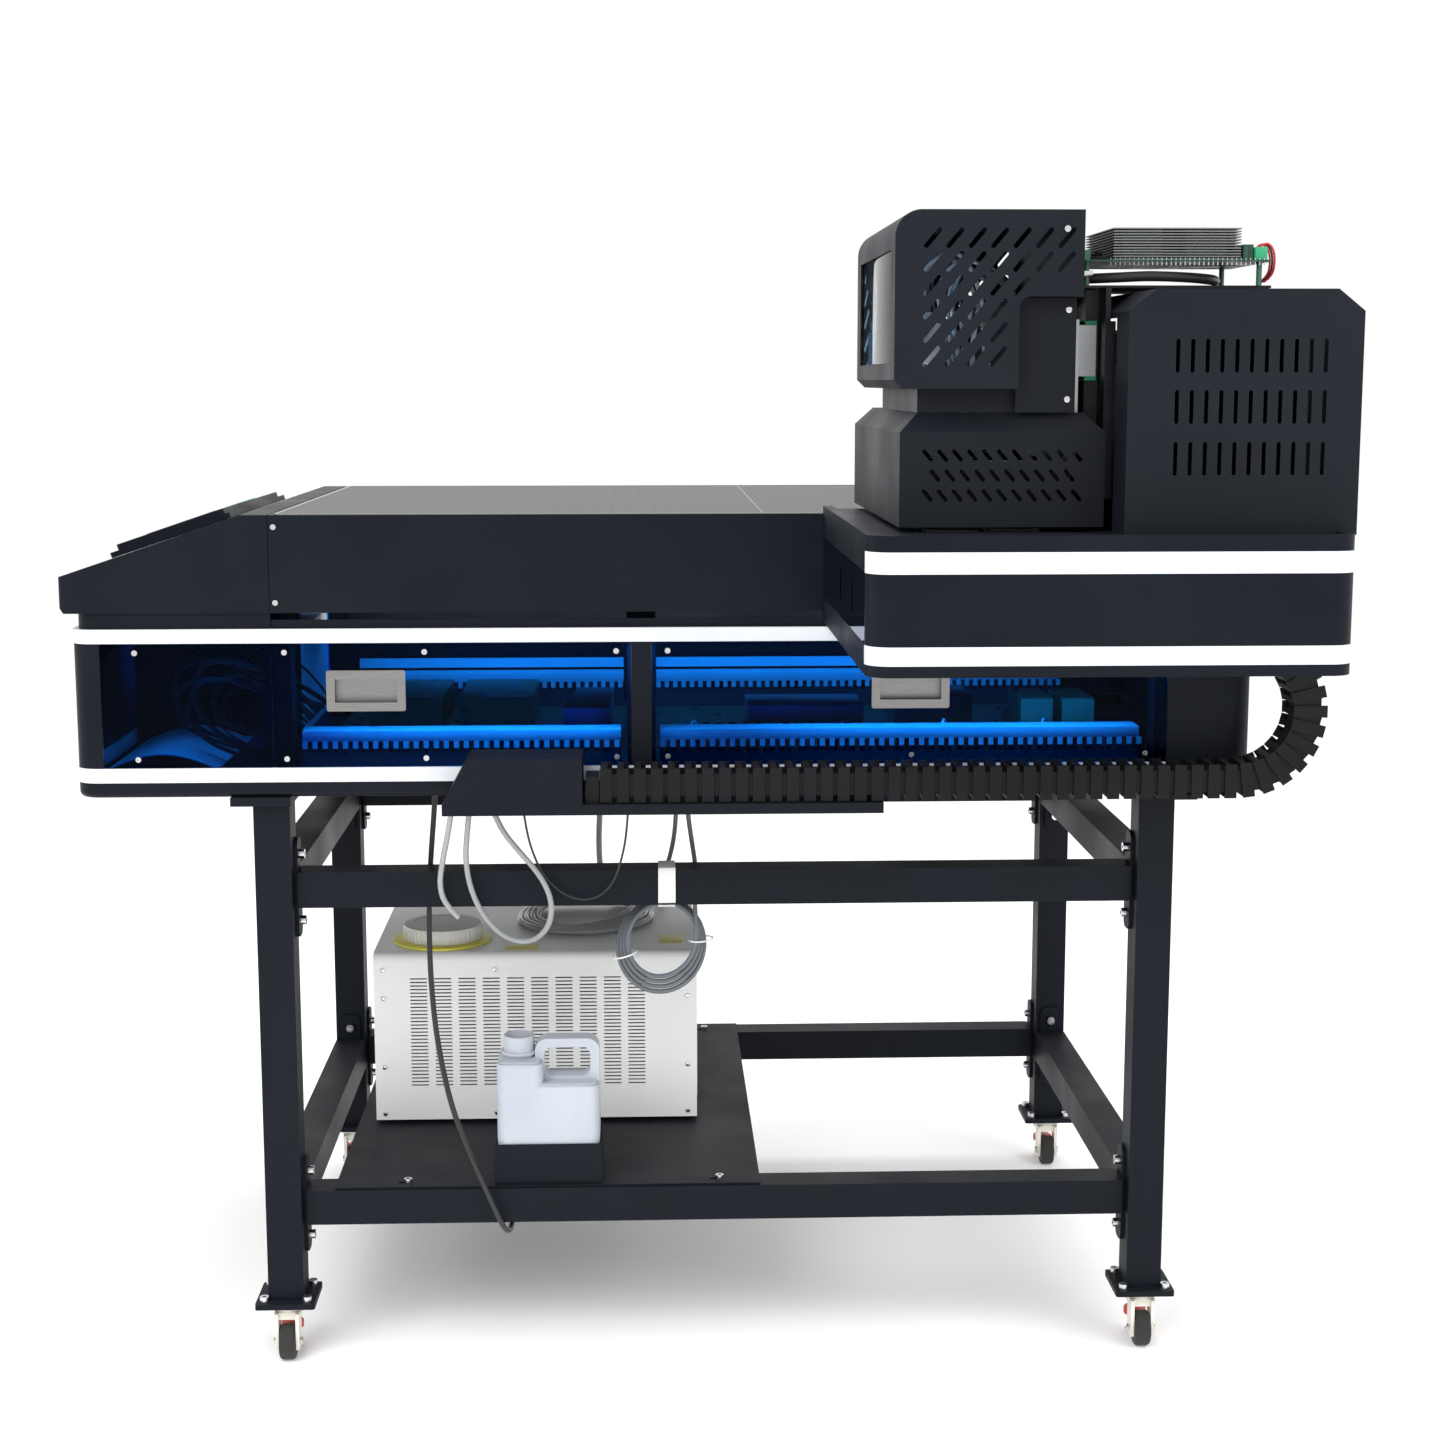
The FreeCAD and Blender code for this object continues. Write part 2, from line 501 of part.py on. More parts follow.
def make_nose():
    """Sloped front casing above the window band."""
    outline = [(NOSE_X + 7, PANEL_Z), (NOSE_X, PANEL_Z + NOSE_FACE_LOW),
               (NOSE_X, PANEL_Z + NOSE_FACE_TOP), (NOSE_RISE_END, TABLE_TOP),
               (FRONT_SEAM - 0.4, TABLE_TOP), (FRONT_SEAM - 0.4, PANEL_Z)]
    outer = prism_y(outline, BODY_SIDE, BODY_FAR)
    front = [e for e in outer.Edges if e.CenterOfMass.x < NOSE_X + 1
             and abs(e.tangentAt(e.FirstParameter).z) > 0.999]
    outer = outer.makeFillet(10.0, front)
    hollow = [(NOSE_X + 9, PANEL_Z - 1), (NOSE_X + 4, PANEL_Z + NOSE_FACE_LOW),
              (NOSE_X + 4, PANEL_Z + NOSE_FACE_TOP - 2), (NOSE_RISE_END, TABLE_TOP - 2.2),
              (FRONT_SEAM + 1, TABLE_TOP - 2.2), (FRONT_SEAM + 1, PANEL_Z - 1)]
    shell = outer.cut(prism_y(hollow, BODY_SIDE + SHEET, BODY_FAR - SHEET))
    floor = box(NOSE_X + 8, BODY_FRONT + 30, BODY_SIDE + 1, BODY_FAR - 1, PANEL_Z, PANEL_Z + SHEET)
    neck = make_u_shell(BODY_FRONT + 6, FRONT_SEAM - 0.4, NECK_Z + 0.2, PANEL_Z, 6.0, True)
    return fused([shell, floor, neck])


def make_panes(cutters):
    """Tinted panes of one side, with a chamfered corner on the first."""
    near, back = BODY_SIDE, BODY_SIDE + ACRYLIC_T
    first = [(FRONT_PANE_X0, PANE_Z0), (FRONT_PANE_X0, PANE_Z1 - PANE_CHAMFER),
             (FRONT_PANE_X0 + PANE_CHAMFER, PANE_Z1), (FRONT_SEAM - 1, PANE_Z1),
             (FRONT_SEAM - 1, PANE_Z0)]
    panes = [prism_y(first, near, back),
             box(FRONT_SEAM + 1, DOOR_POST_X0, near, back, PANE_Z0, PANE_Z1),
             box(DOOR_POST_X1, REAR_CASING_X - 1, near, back, PANE_Z0, PANE_Z1)]
    return [cut(pane, cutters) for pane in panes]


HANDLE_Z = (PANE_Z0 + PANE_Z1) / 2 + 20.0


def handle_hole(x):
    """Cut-out of a pane round a handle's cup."""
    w, h = HANDLE_CUP_W / 2 + 3, HANDLE_CUP_H / 2 + 3
    return box(x - w, x + w, BODY_SIDE - 1, BODY_SIDE + ACRYLIC_T + 1, HANDLE_Z - h, HANDLE_Z + h)


def make_handle(x):
    """Flush pull: a face plate round a pressed cup."""
    w, h = HANDLE_W / 2, HANDLE_H / 2
    cw, ch = HANDLE_CUP_W / 2, HANDLE_CUP_H / 2
    y0 = BODY_SIDE - HANDLE_T
    plate = box(x - w, x + w, y0, BODY_SIDE, HANDLE_Z - h, HANDLE_Z + h)
    across = [e for e in plate.Edges if abs(e.tangentAt(e.FirstParameter).y) > 0.999]
    plate = plate.makeFillet(3.0, across)
    cup = box(x - cw - 2, x + cw + 2, y0 + 1, y0 + HANDLE_CUP_D + 2, HANDLE_Z - ch - 2,
              HANDLE_Z + ch + 2)
    recess = box(x - cw, x + cw, y0 - 1, y0 + HANDLE_CUP_D, HANDLE_Z - ch, HANDLE_Z + ch)
    return fused([plate, cup]).cut(recess)


def make_led_rings(z0, z1):
    """Light strip round the front and both sides of the body."""
    x0, y0, y1 = BODY_FRONT - LED_PROUD, BODY_SIDE - LED_PROUD, BODY_FAR + LED_PROUD

    def front(edge):
        return edge.CenterOfMass.x < x0 + 1 + LED_T

    outer = rounded_box(x0, REAR_CASING_X, y0, y1, z0, z1, BODY_CORNER_R + LED_PROUD, front)
    inner = rounded_box(x0 + LED_T, REAR_CASING_X + 1, y0 + LED_T, y1 - LED_T, z0 - 1, z1 + 1,
                        BODY_CORNER_R + LED_PROUD - LED_T, front)
    return outer.cut(inner)


def make_side_panels():
    """Upper side panels with a folded lower lip, and the rear panel."""
    x0, x1 = FRONT_SEAM + 0.4, BODY_REAR - SHEET
    panel = fused([box(x0, x1, BODY_SIDE, BODY_SIDE + SHEET, PANEL_Z, TABLE_TOP),
                   box(x0, x1, BODY_SIDE, BODY_SIDE + 15, PANEL_Z, PANEL_Z + SHEET)])
    rear = box(x1, BODY_REAR, BODY_SIDE, BODY_FAR, PANEL_Z, TABLE_TOP)
    return both_sides(panel) + [rear]


FRAME_X0, FRAME_X1 = 10.0, BODY_REAR - 44.0
POST_X = (FRAME_X0, DOOR_POST_X0 - 6.0, REAR_CASING_X - 4.0)


def make_body_frame():
    """Inner frame: beams under the table, posts down to the pan, cross members, slot sills."""
    w = FRAME_BEAM_W
    beam = tube_box(FRAME_X0, FRAME_X1, FRAME_Y, FRAME_Y + w, FRAME_Z0, TABLE_BOTTOM, 3.0, "x")
    posts = [tube_box(x, x + w, FRAME_Y, FRAME_Y + w, BODY_BOTTOM + 3, FRAME_Z0, 3.0, "z")
             for x in POST_X]
    sill = box(FRONT_SEAM + 0.4, BODY_REAR - 26, BODY_SIDE + LED_T, BODY_SIDE + LED_T + 3,
               UP_LED_Z + 2, SLOT_Z)
    pieces = []
    for piece in [beam, sill] + posts:
        pieces += both_sides(piece)
    far_beam = 2 * MID_Y - FRAME_Y - w
    for x in (FRAME_X0 + 10, 660.0, FRAME_X1 - 60):
        pieces.append(tube_box(x, x + w, FRAME_Y + w, far_beam, TABLE_BOTTOM - w, TABLE_BOTTOM,
                               3.0, "y"))
    door_post = box(DOOR_POST_X0 + 0.5, DOOR_POST_X1 - 0.5, BODY_SIDE, BODY_SIDE + 6,
                    WINDOW_Z + 0.5, UP_LED_Z - 0.5)
    return pieces + both_sides(door_post)


def casing_screw(x, z, near):
    """Button-head screw on a side face."""
    y = BODY_SIDE if near else BODY_FAR
    axis = AXIS_Y * (-1 if near else 1)
    return socket_bolt(x, y, z, axis, 3.8, 2.6)


PANE_SCREW_X = (-150.0, FRONT_SEAM + 18, 240.0, DOOR_POST_X0 - 20,
                DOOR_POST_X1 + 22, 905.0, REAR_CASING_X - 30)
for near_side in (True, False):
    for screw_x in PANE_SCREW_X:
        for screw_z in (PANE_Z1 - 12, PANE_Z0 + 12):
            fasteners.append(casing_screw(screw_x, screw_z, near_side))
    for screw_x in (FRONT_SEAM + 8, BODY_REAR - 20):
        for screw_z in (TABLE_TOP - 16, PANEL_Z + 14):
            fasteners.append(casing_screw(screw_x, screw_z, near_side))

# Control panel: two stacked slabs on the slope
SLOPE = math.degrees(math.atan2(PANEL_H - NOSE_FACE_TOP, NOSE_RISE_END - NOSE_X))
PANEL_Y0, PANEL_Y1 = 60.0, 560.0


def slope_slab(start, end, low, high, y0, y1, radius):
    """Slab lying on the slope: start and end along it, low and high above it."""
    slab = box(start, end, y0, y1, low, high)
    upright = upright_edges(slab)
    slab = slab.makeFillet(radius, upright)
    slab.rotate(V(0, 0, 0), AXIS_Y, -SLOPE)
    slab.translate(V(NOSE_X, 0, PANEL_Z + NOSE_FACE_TOP))
    return slab


# ------------------------------------------------------------------ inside the body
DUCT_Z0, DUCT_H, DUCT_W = 842.0, 55.0, 40.0
TOOTH_PITCH, TOOTH_GAP = 12.5, 5.0
BAY_Z = DUCT_Z0


def make_duct(x0, x1, y0):
    """Slotted wiring duct: a channel with teeth along both walls."""
    duct = box(x0, x1, y0, y0 + DUCT_W, DUCT_Z0, DUCT_Z0 + DUCT_H)
    inner = box(x0 - 1, x1 + 1, y0 + 2, y0 + DUCT_W - 2, DUCT_Z0 + 2, DUCT_Z0 + DUCT_H + 1)
    count = int((x1 - x0) / TOOTH_PITCH)
    gaps = [box(x0 + (i + 0.5) * TOOTH_PITCH, x0 + (i + 0.5) * TOOTH_PITCH + TOOTH_GAP,
                y0 - 1, y0 + DUCT_W + 1, DUCT_Z0 + DUCT_H * 0.45, DUCT_Z0 + DUCT_H + 1)
            for i in range(count)]
    return cut(duct, [inner] + gaps)


def make_electronics():
    """Mounting plate with circuit boards, power supplies and drive modules on it."""
    plate = box(60, 1245, 45, 2 * MID_Y - 45, BAY_Z - 2, BAY_Z)
    notches = []
    for x in POST_X:
        notches += both_sides(box(x - 2, x + FRAME_BEAM_W + 2, FRAME_Y - 20,
                                  FRAME_Y + FRAME_BEAM_W + 2, BAY_Z - 3, BAY_Z + 1))
    plate = cut(plate, notches)
    posts = [box(x, x + 30, y, y + 30, BODY_BOTTOM + 3, BAY_Z - 2)
             for x in (70, 640, 1205) for y in (110, 2 * MID_Y - 140)]
    supplies = [box(x, x + 115, 440, 655, BAY_Z, BAY_Z + 50) for x in (110, 250)]
    drives = [box(x, x + 46, 130, 250, BAY_Z, BAY_Z + 86) for x in (1080, 1140)]
    boards = [box(600, 820, 150, 330, BAY_Z + 10, BAY_Z + 12),
              box(860, 1040, 140, 300, BAY_Z + 10, BAY_Z + 12),
              box(120, 330, 170, 330, BAY_Z + 10, BAY_Z + 12)]
    standoffs = []
    for x, y in ((606, 156), (814, 324), (866, 146), (1034, 294), (126, 176), (324, 324),
                 (606, 324), (814, 156), (866, 294), (1034, 146), (126, 324), (324, 176)):
        standoffs.append(rod(x, y, BAY_Z, 3.0, 10.0))
    chips = [box(x, x + w, y, y + d, BAY_Z + 12, BAY_Z + 12 + h) for x, y, w, d, h in (
        (630, 180, 40, 40, 4), (700, 190, 60, 22, 14), (640, 260, 120, 16, 12),
        (885, 170, 36, 36, 5), (950, 165, 70, 18, 15), (880, 250, 130, 14, 12),
        (150, 200, 50, 50, 5), (230, 200, 70, 20, 14), (150, 290, 140, 16, 12))]
    return [fused([plate] + posts), *supplies, *drives, *boards, *standoffs, *chips]


def make_drive_motor():
    """Motor behind the drive screw, with its flange and two bearing blocks."""
    half = 28.0
    body = box(FRAME_X1 + 9, FRAME_X1 + 39, SCREW_Y - half, SCREW_Y + half,
               SCREW_Z - half, SCREW_Z + half)
    blocks = []
    for x in (FRAME_X0 + 6, FRAME_X1 - 30):
        block = box(x, x + 22, SCREW_Y - 14, FRAME_Y, SCREW_Z - 14, FRAME_Z0 + 22)
        blocks.append(block.cut(rod(x - 1, SCREW_Y, SCREW_Z, SCREW_R + SCREW_CLEAR, 24, AXIS_X)))
    return [body] + blocks


def make_drive_screw():
    """Lead screw of the gantry drive."""
    return rod(FRAME_X0 + 2, SCREW_Y, SCREW_Z, SCREW_R, FRAME_X1 + 6 - FRAME_X0 - 2, AXIS_X)


# ------------------------------------------------------------------ gantry
GANTRY_RAIL_Z = FRAME_Z0 + 24.0
ARM_Y0, ARM_Y1 = BODY_SIDE - 48.0, FRAME_Y - BLOCK_H
ARM_X0, ARM_X1 = BEAM_X0 + 5.0, BEAM_X1 + 5.0
ARM_T = 8.0


def gantry_block(x0):
    """Linear block on the near rail, open towards the beam."""
    z = GANTRY_RAIL_Z + RAIL_BAR / 2
    block = box(x0, x0 + BLOCK_L, ARM_Y1, FRAME_Y - 4, z - BLOCK_W / 2, z + BLOCK_W / 2)
    groove = box(x0 - 1, x0 + BLOCK_L + 1, FRAME_Y - RAIL_BAR - SLIDE_CLEAR, FRAME_Y,
                 GANTRY_RAIL_Z - SLIDE_CLEAR, GANTRY_RAIL_Z + RAIL_BAR + SLIDE_CLEAR)
    return block.cut(groove)


def make_arm(near):
    """Arm that carries the gantry out through the slot, with two linear blocks."""
    z0 = SLOT_Z + 1.0
    inner = box(ARM_X0, ARM_X1, ARM_Y1 - 10, ARM_Y1, z0, GANTRY_RAIL_Z + 30)
    foot = box(ARM_X0, ARM_X1, ARM_Y0, ARM_Y1, z0, z0 + ARM_T)
    riser = box(ARM_X0, ARM_X1, ARM_Y0, ARM_Y0 + 12, z0, BEAM_Z0)
    pieces = [fused([inner, foot, riser])]
    pieces += [gantry_block(x) for x in (ARM_X0 + 10, ARM_X1 - 10 - BLOCK_L)]
    if near:
        mid = (ARM_X0 + ARM_X1) / 2
        nut = box(mid - 15, mid + 15, ARM_Y1, ARM_Y1 + 20, z0 + ARM_T + 1, SCREW_Z + 13)
        pieces.append(nut.cut(rod(mid - 16, SCREW_Y, SCREW_Z, SCREW_R + SCREW_CLEAR, 32, AXIS_X)))
        return pieces
    return [mirrored(piece) for piece in pieces]


STATION_X0, STATION_X1 = LOWER_X0 + 18.0, LOWER_X0 + LOWER_LENGTH - 16.0
STATION_Y0, STATION_Y1 = LOWER_Y0 + 10.0, -60.0
WINDOW_SILL, WINDOW_HEAD = 34.0, 42.0


def make_end_box():
    """Hollow casing outside the near side, with a deck opening over the capping station."""
    x0, x1, y0, y1 = END_BOX_X0, END_BOX_X1, END_BOX_Y0, END_BOX_Y1
    w = END_BOX_WALL

    def near(edge):
        return edge.CenterOfMass.y < y0 + 20

    outer = rounded_box(x0, x1, y0, y1, END_BOX_BOTTOM, END_BOX_TOP, END_BOX_R, near)
    hollow = rounded_box(x0 + w, x1 - w, y0 + w, y1 - w, END_BOX_BOTTOM + w, DECK_TOP - w,
                         END_BOX_R - w, near)
    recess = rounded_box(x0 + 12, x1 - 12, y0 + 12, y1 + 1, DECK_TOP, END_BOX_TOP + 1,
                         END_BOX_R - 12, near)
    station = box(STATION_X0, STATION_X1, STATION_Y0, y1 + 1, END_BOX_TOP - 40, END_BOX_TOP + 1)
    window = box(x0 - 1, x0 + w + 1, y0 + END_BOX_R + 8, y1 - 12,
                 END_BOX_BOTTOM + WINDOW_SILL, END_BOX_TOP - WINDOW_HEAD)
    arm = box(ARM_X0 - 1, ARM_X1 + 1, ARM_Y0 - 1, y1 + 1, SLOT_Z, DECK_TOP + 1)
    hood = box(COVER_X0 - 1, x1 + 1, COVER_Y0 - 1, y1 + 1, DECK_TOP, END_BOX_TOP + 1)
    return cut(outer, [hollow, recess, station, window, arm, hood])


def make_end_window():
    """Tinted front pane of the end box with two upright slots."""
    y0, y1 = END_BOX_Y0 + END_BOX_R + 8.5, END_BOX_Y1 - 12.5
    z0, z1 = END_BOX_BOTTOM + WINDOW_SILL + 0.5, END_BOX_TOP - WINDOW_HEAD - 0.5
    pane = box(END_BOX_X0, END_BOX_X0 + END_BOX_WALL, y0, y1, z0, z1)
    mid = (z0 + z1) / 2
    slots = [box(END_BOX_X0 - 1, END_BOX_X0 + END_BOX_WALL + 1, y - 6, y + 6, mid - 18, mid + 18)
             for y in (y0 + 150, y0 + 300)]
    return cut(pane, slots)


def make_gantry_leds():
    """Two light strips on the end box's near face, round its corners."""
    strips = []
    x0, x1, y0 = END_BOX_X0, END_BOX_X1, END_BOX_Y0

    def near(edge):
        return edge.CenterOfMass.y < y0 + 20

    for z0, z1 in ((END_BOX_BOTTOM + 13, END_BOX_BOTTOM + 34),
                   (END_BOX_TOP - 42, END_BOX_TOP - 18)):
        outer = rounded_box(x0 - 1, x1 + 1, y0 - 1, y0 + 60, z0, z1, END_BOX_R + 1, near)
        inner = rounded_box(x0, x1, y0, y0 + 61, z0 - 1, z1 + 1, END_BOX_R, near)
        strip = outer.cut(inner)
        strips.append(strip.common(box(x0 - 2, x1 + 2, y0 - 2, y0 + END_BOX_R, z0, z1)))
    return strips


def hood_outline(z0, inset):
    """Outline of a hood over the beam: straight sides with two chamfered top corners."""
    x0, x1, top = COVER_X0 + inset, COVER_X1 - inset, COVER_TOP - inset
    dx, dz = COVER_CHAMFER_X - inset / 2, COVER_CHAMFER_Z - inset / 2
    return [(x0, z0), (x0, top - dz), (x0 + dx, top), (x1 - dx, top), (x1, top - dz), (x1, z0)]


def make_beam_cover():
    """Hood over the beam's near end, louvred, with its front side open for the carriage."""
    outer = prism_y(hood_outline(DECK_TOP, 0), COVER_Y0, COVER_Y1)
    inner = prism_y(hood_outline(DECK_TOP - 1, SHEET), COVER_Y0 + SHEET, COVER_Y1 + 1)
    louvres = []
    for row_z in (COVER_TOP - 73, COVER_TOP - 129, COVER_TOP - 186):
        for column in range(11):
            louvres.append(slot_y(COVER_X0 + 55 + column * 16.5, row_z, 37, 4.6, 90,
                                  COVER_Y0 - 1, COVER_Y0 + SHEET + 1))
    opening = box(COVER_X0 - 1, COVER_X0 + SHEET + 1, COVER_Y0 + COVER_RETURN, COVER_Y1 + 1,
                  DECK_TOP - 1, COVER_TOP - COVER_CHAMFER_Z - 6)
    return cut(outer, [inner, opening] + louvres)


def make_far_box():
    """Casing round the gantry's far leg."""
    z0 = END_BOX_BOTTOM
    outer = prism_y(hood_outline(z0, 0), FAR_BOX_Y0, FAR_BOX_Y1)
    inner = prism_y(hood_outline(z0 + SHEET, SHEET), FAR_BOX_Y0 + SHEET, FAR_BOX_Y1 - SHEET)
    x0, x1 = BEAM_X0 - RAIL_BAR - 12, BEAM_X1 + 2
    mouth = box(x0, x1, FAR_BOX_Y0 - 1, FAR_BOX_Y0 + SHEET + 1, BEAM_Z0 - 8, BEAM_Z1 + 2)
    slot = box(ARM_X0 - 1, ARM_X1 + 1, FAR_BOX_Y0 - 1, FAR_BOX_Y0 + SHEET + 1, SLOT_Z - 1,
               SLOT_Z + ARM_T + 3)
    return cut(outer, [inner, mouth, slot])


BEAM_RAIL_Z = (BEAM_Z0 + 16.0, BEAM_Z1 - 31.0)


def make_beam():
    """Gantry beam with the two carriage rails on its front face."""
    beam = tube_box(BEAM_X0, BEAM_X1, BEAM_Y0, BEAM_Y1, BEAM_Z0, BEAM_Z1, 5.0, "y")
    rails = [box(RAIL_FACE_X, BEAM_X0, BEAM_Y0 + 5, BEAM_Y1 - 5, z, z + RAIL_BAR)
             for z in BEAM_RAIL_Z]
    return [beam] + rails


HEAD_PLACES = [(902.0, -390.0), (985.0, -330.0), (902.0, -270.0), (985.0, -210.0)]
HEAD_L, HEAD_D, HEAD_H = 54.0, 36.0, 84.0
LAMP_Y = (-492.0, -148.0)
LAMP_D = 58.0


def make_station():
    """Capping station: tray on pillars, a rubber cap under each head and a wiper."""
    z1 = HEAD_Z - 22
    tray = box(STATION_X0 + 6, STATION_X1 - 6, STATION_Y0 + 8, STATION_Y1 - 8, z1 - 10, z1)
    pillars = [rod(x, y, END_BOX_BOTTOM + END_BOX_WALL, 8.0, z1 - 10 - END_BOX_BOTTOM
                   - END_BOX_WALL)
               for x in (STATION_X0 + 22, STATION_X1 - 22) for y in (STATION_Y0 + 26,
                                                                     STATION_Y1 - 26)]
    caps = [box(x - HEAD_L / 2 - 4, x + HEAD_L / 2 + 4, y - HEAD_D / 2 - 4, y + HEAD_D / 2 + 4,
                z1, HEAD_Z - 0.5) for x, y in HEAD_PLACES]
    wiper = box(STATION_X0 + 20, STATION_X1 - 20, -90, -87, z1, HEAD_Z - 0.8)
    return [fused([tray] + pillars), *caps, wiper]


# ------------------------------------------------------------------ carriage and head
LIFT_RAIL_Y = (CARRIAGE_Y0 + 40.0, CARRIAGE_Y1 - 55.0)
LIFT_BLOCK_Z = 1386.0
LIFT_BLOCK_L = 58.0
LIFT_SCREW_Y = (CARRIAGE_Y0 + CARRIAGE_Y1) / 2
LIFT_SCREW_X = CARRIAGE_X0 - RAIL_BAR / 2 - 2.0
BACK_X0, BACK_X1 = CARRIAGE_X0 - 36.0, CARRIAGE_X0 - 28.0


def beam_block(y0, z):
    """Linear block on a carriage rail."""
    mid = z + RAIL_BAR / 2
    block = box(CARRIAGE_X1, BEAM_X0 - 4, y0, y0 + BLOCK_L, mid - BLOCK_W / 2, mid + BLOCK_W / 2)
    groove = box(RAIL_FACE_X - SLIDE_CLEAR, BEAM_X0, y0 - 1, y0 + BLOCK_L + 1, z - SLIDE_CLEAR,
                 z + RAIL_BAR + SLIDE_CLEAR)
    return block.cut(groove)


def make_carriage():
    """Carriage plate with its blocks, upright rails, board bracket and lift-screw bearings."""
    step = COVER_TOP - COVER_CHAMFER_Z - 9
    plate = fused([box(CARRIAGE_X0, CARRIAGE_X1, CARRIAGE_Y0, CARRIAGE_Y1, CARRIAGE_Z0, step),
                   box(CARRIAGE_X0, COVER_X0 - 2, CARRIAGE_Y0, CARRIAGE_Y1, step, CARRIAGE_Z1)])
    shelf = box(CARRIAGE_X0 - 31, BOARD_X0 + BOARD_LENGTH, BOARD_Y0, BOARD_Y0 + BOARD_DEPTH,
                CARRIAGE_Z1, CARRIAGE_Z1 + 3)
    rails = [box(CARRIAGE_X0 - RAIL_BAR, CARRIAGE_X0, y, y + RAIL_BAR, CARRIAGE_Z0 + 4,
                 CARRIAGE_Z1 - 2) for y in LIFT_RAIL_Y]
    blocks = [beam_block(y, z) for y in (CARRIAGE_Y0 + 10, CARRIAGE_Y1 - 10 - BLOCK_L)
              for z in BEAM_RAIL_Z]
    bearings = []
    for z in (CARRIAGE_Z0 + 4, CARRIAGE_Z1 - 16):
        bearing = box(LIFT_SCREW_X - 11, CARRIAGE_X0, LIFT_SCREW_Y - 12, LIFT_SCREW_Y + 12,
                      z, z + 12)
        bearings.append(bearing.cut(rod(LIFT_SCREW_X, LIFT_SCREW_Y, z - 1,
                                        LIFT_SCREW_R + SCREW_CLEAR, 14)))
    return [fused([plate, shelf]), *rails, *blocks, *bearings]


def lift_block(y):
    """Short linear block on an upright rail."""
    x0, x1 = CARRIAGE_X0 - BLOCK_H, CARRIAGE_X0 - 4
    mid = y + RAIL_BAR / 2
    block = box(x0, x1, mid - BLOCK_W / 2, mid + BLOCK_W / 2, LIFT_BLOCK_Z,
                LIFT_BLOCK_Z + LIFT_BLOCK_L)
    groove = box(CARRIAGE_X0 - RAIL_BAR - SLIDE_CLEAR, CARRIAGE_X0, y - SLIDE_CLEAR,
                 y + RAIL_BAR + SLIDE_CLEAR, LIFT_BLOCK_Z - 1, LIFT_BLOCK_Z + LIFT_BLOCK_L + 1)
    return block.cut(groove)


def make_head_plate():
    """Head base plate, its upright back plate, lift blocks and the lift nut."""
    z0 = HEAD_Z + 15
    base = box(LOWER_X0 + 10, LOWER_X0 + LOWER_LENGTH - 18, LOWER_Y0 + 6,
               LOWER_Y0 + LOWER_DEPTH - 6, z0, z0 + 6)
    holes = [box(x - HEAD_L / 2 - 0.5, x + HEAD_L / 2 + 0.5, y - HEAD_D / 2 - 0.5,
                 y + HEAD_D / 2 + 0.5, z0 - 1, z0 + 7) for x, y in HEAD_PLACES]
    holes += [box(849.5, 1036.5, y - 0.5, y + LAMP_D + 0.5, z0 - 1, z0 + 7) for y in LAMP_Y]
    back = box(BACK_X0, BACK_X1, CARRIAGE_Y0 + 10, CARRIAGE_Y1 - 10, z0 + 6,
               LIFT_BLOCK_Z + LIFT_BLOCK_L + 6)
    window = box(BACK_X0 - 1, BACK_X1 + 1, LAMP_Y[0] - 0.5, LAMP_Y[0] + LAMP_D + 1, z0 + 5,
                 z0 + 75)
    window2 = box(BACK_X0 - 1, BACK_X1 + 1, LAMP_Y[1] - 1, LAMP_Y[1] + LAMP_D + 1, z0 + 5,
                  z0 + 75)
    plate = fused([cut(base, holes), cut(back, [window, window2])])
    spacers = [box(BACK_X1, CARRIAGE_X0 - BLOCK_H, y - 8, y + RAIL_BAR + 8, LIFT_BLOCK_Z,
                   LIFT_BLOCK_Z + LIFT_BLOCK_L) for y in LIFT_RAIL_Y]
    nut = box(BACK_X1, LIFT_SCREW_X + 7, LIFT_SCREW_Y - 13, LIFT_SCREW_Y + 13, LIFT_BLOCK_Z + 15,
              LIFT_BLOCK_Z + 40)
    nut = nut.cut(rod(LIFT_SCREW_X, LIFT_SCREW_Y, LIFT_BLOCK_Z, LIFT_SCREW_R + SCREW_CLEAR, 60))
    return [plate, *spacers, *[lift_block(y) for y in LIFT_RAIL_Y], nut]


def make_heads():
    """Print heads through the base plate and an ultraviolet lamp at each end."""
    heads = [fused([box(x - HEAD_L / 2, x + HEAD_L / 2, y - HEAD_D / 2, y + HEAD_D / 2, HEAD_Z,
                        HEAD_Z + HEAD_H),
                    box(x - 14, x + 14, y - 10, y + 10, HEAD_Z + HEAD_H, HEAD_Z + HEAD_H + 26)])
             for x, y in HEAD_PLACES]
    lamps = [box(850, 1024, y, y + LAMP_D, HEAD_Z + 6, HEAD_Z + 82) for y in LAMP_Y]
    return heads + lamps


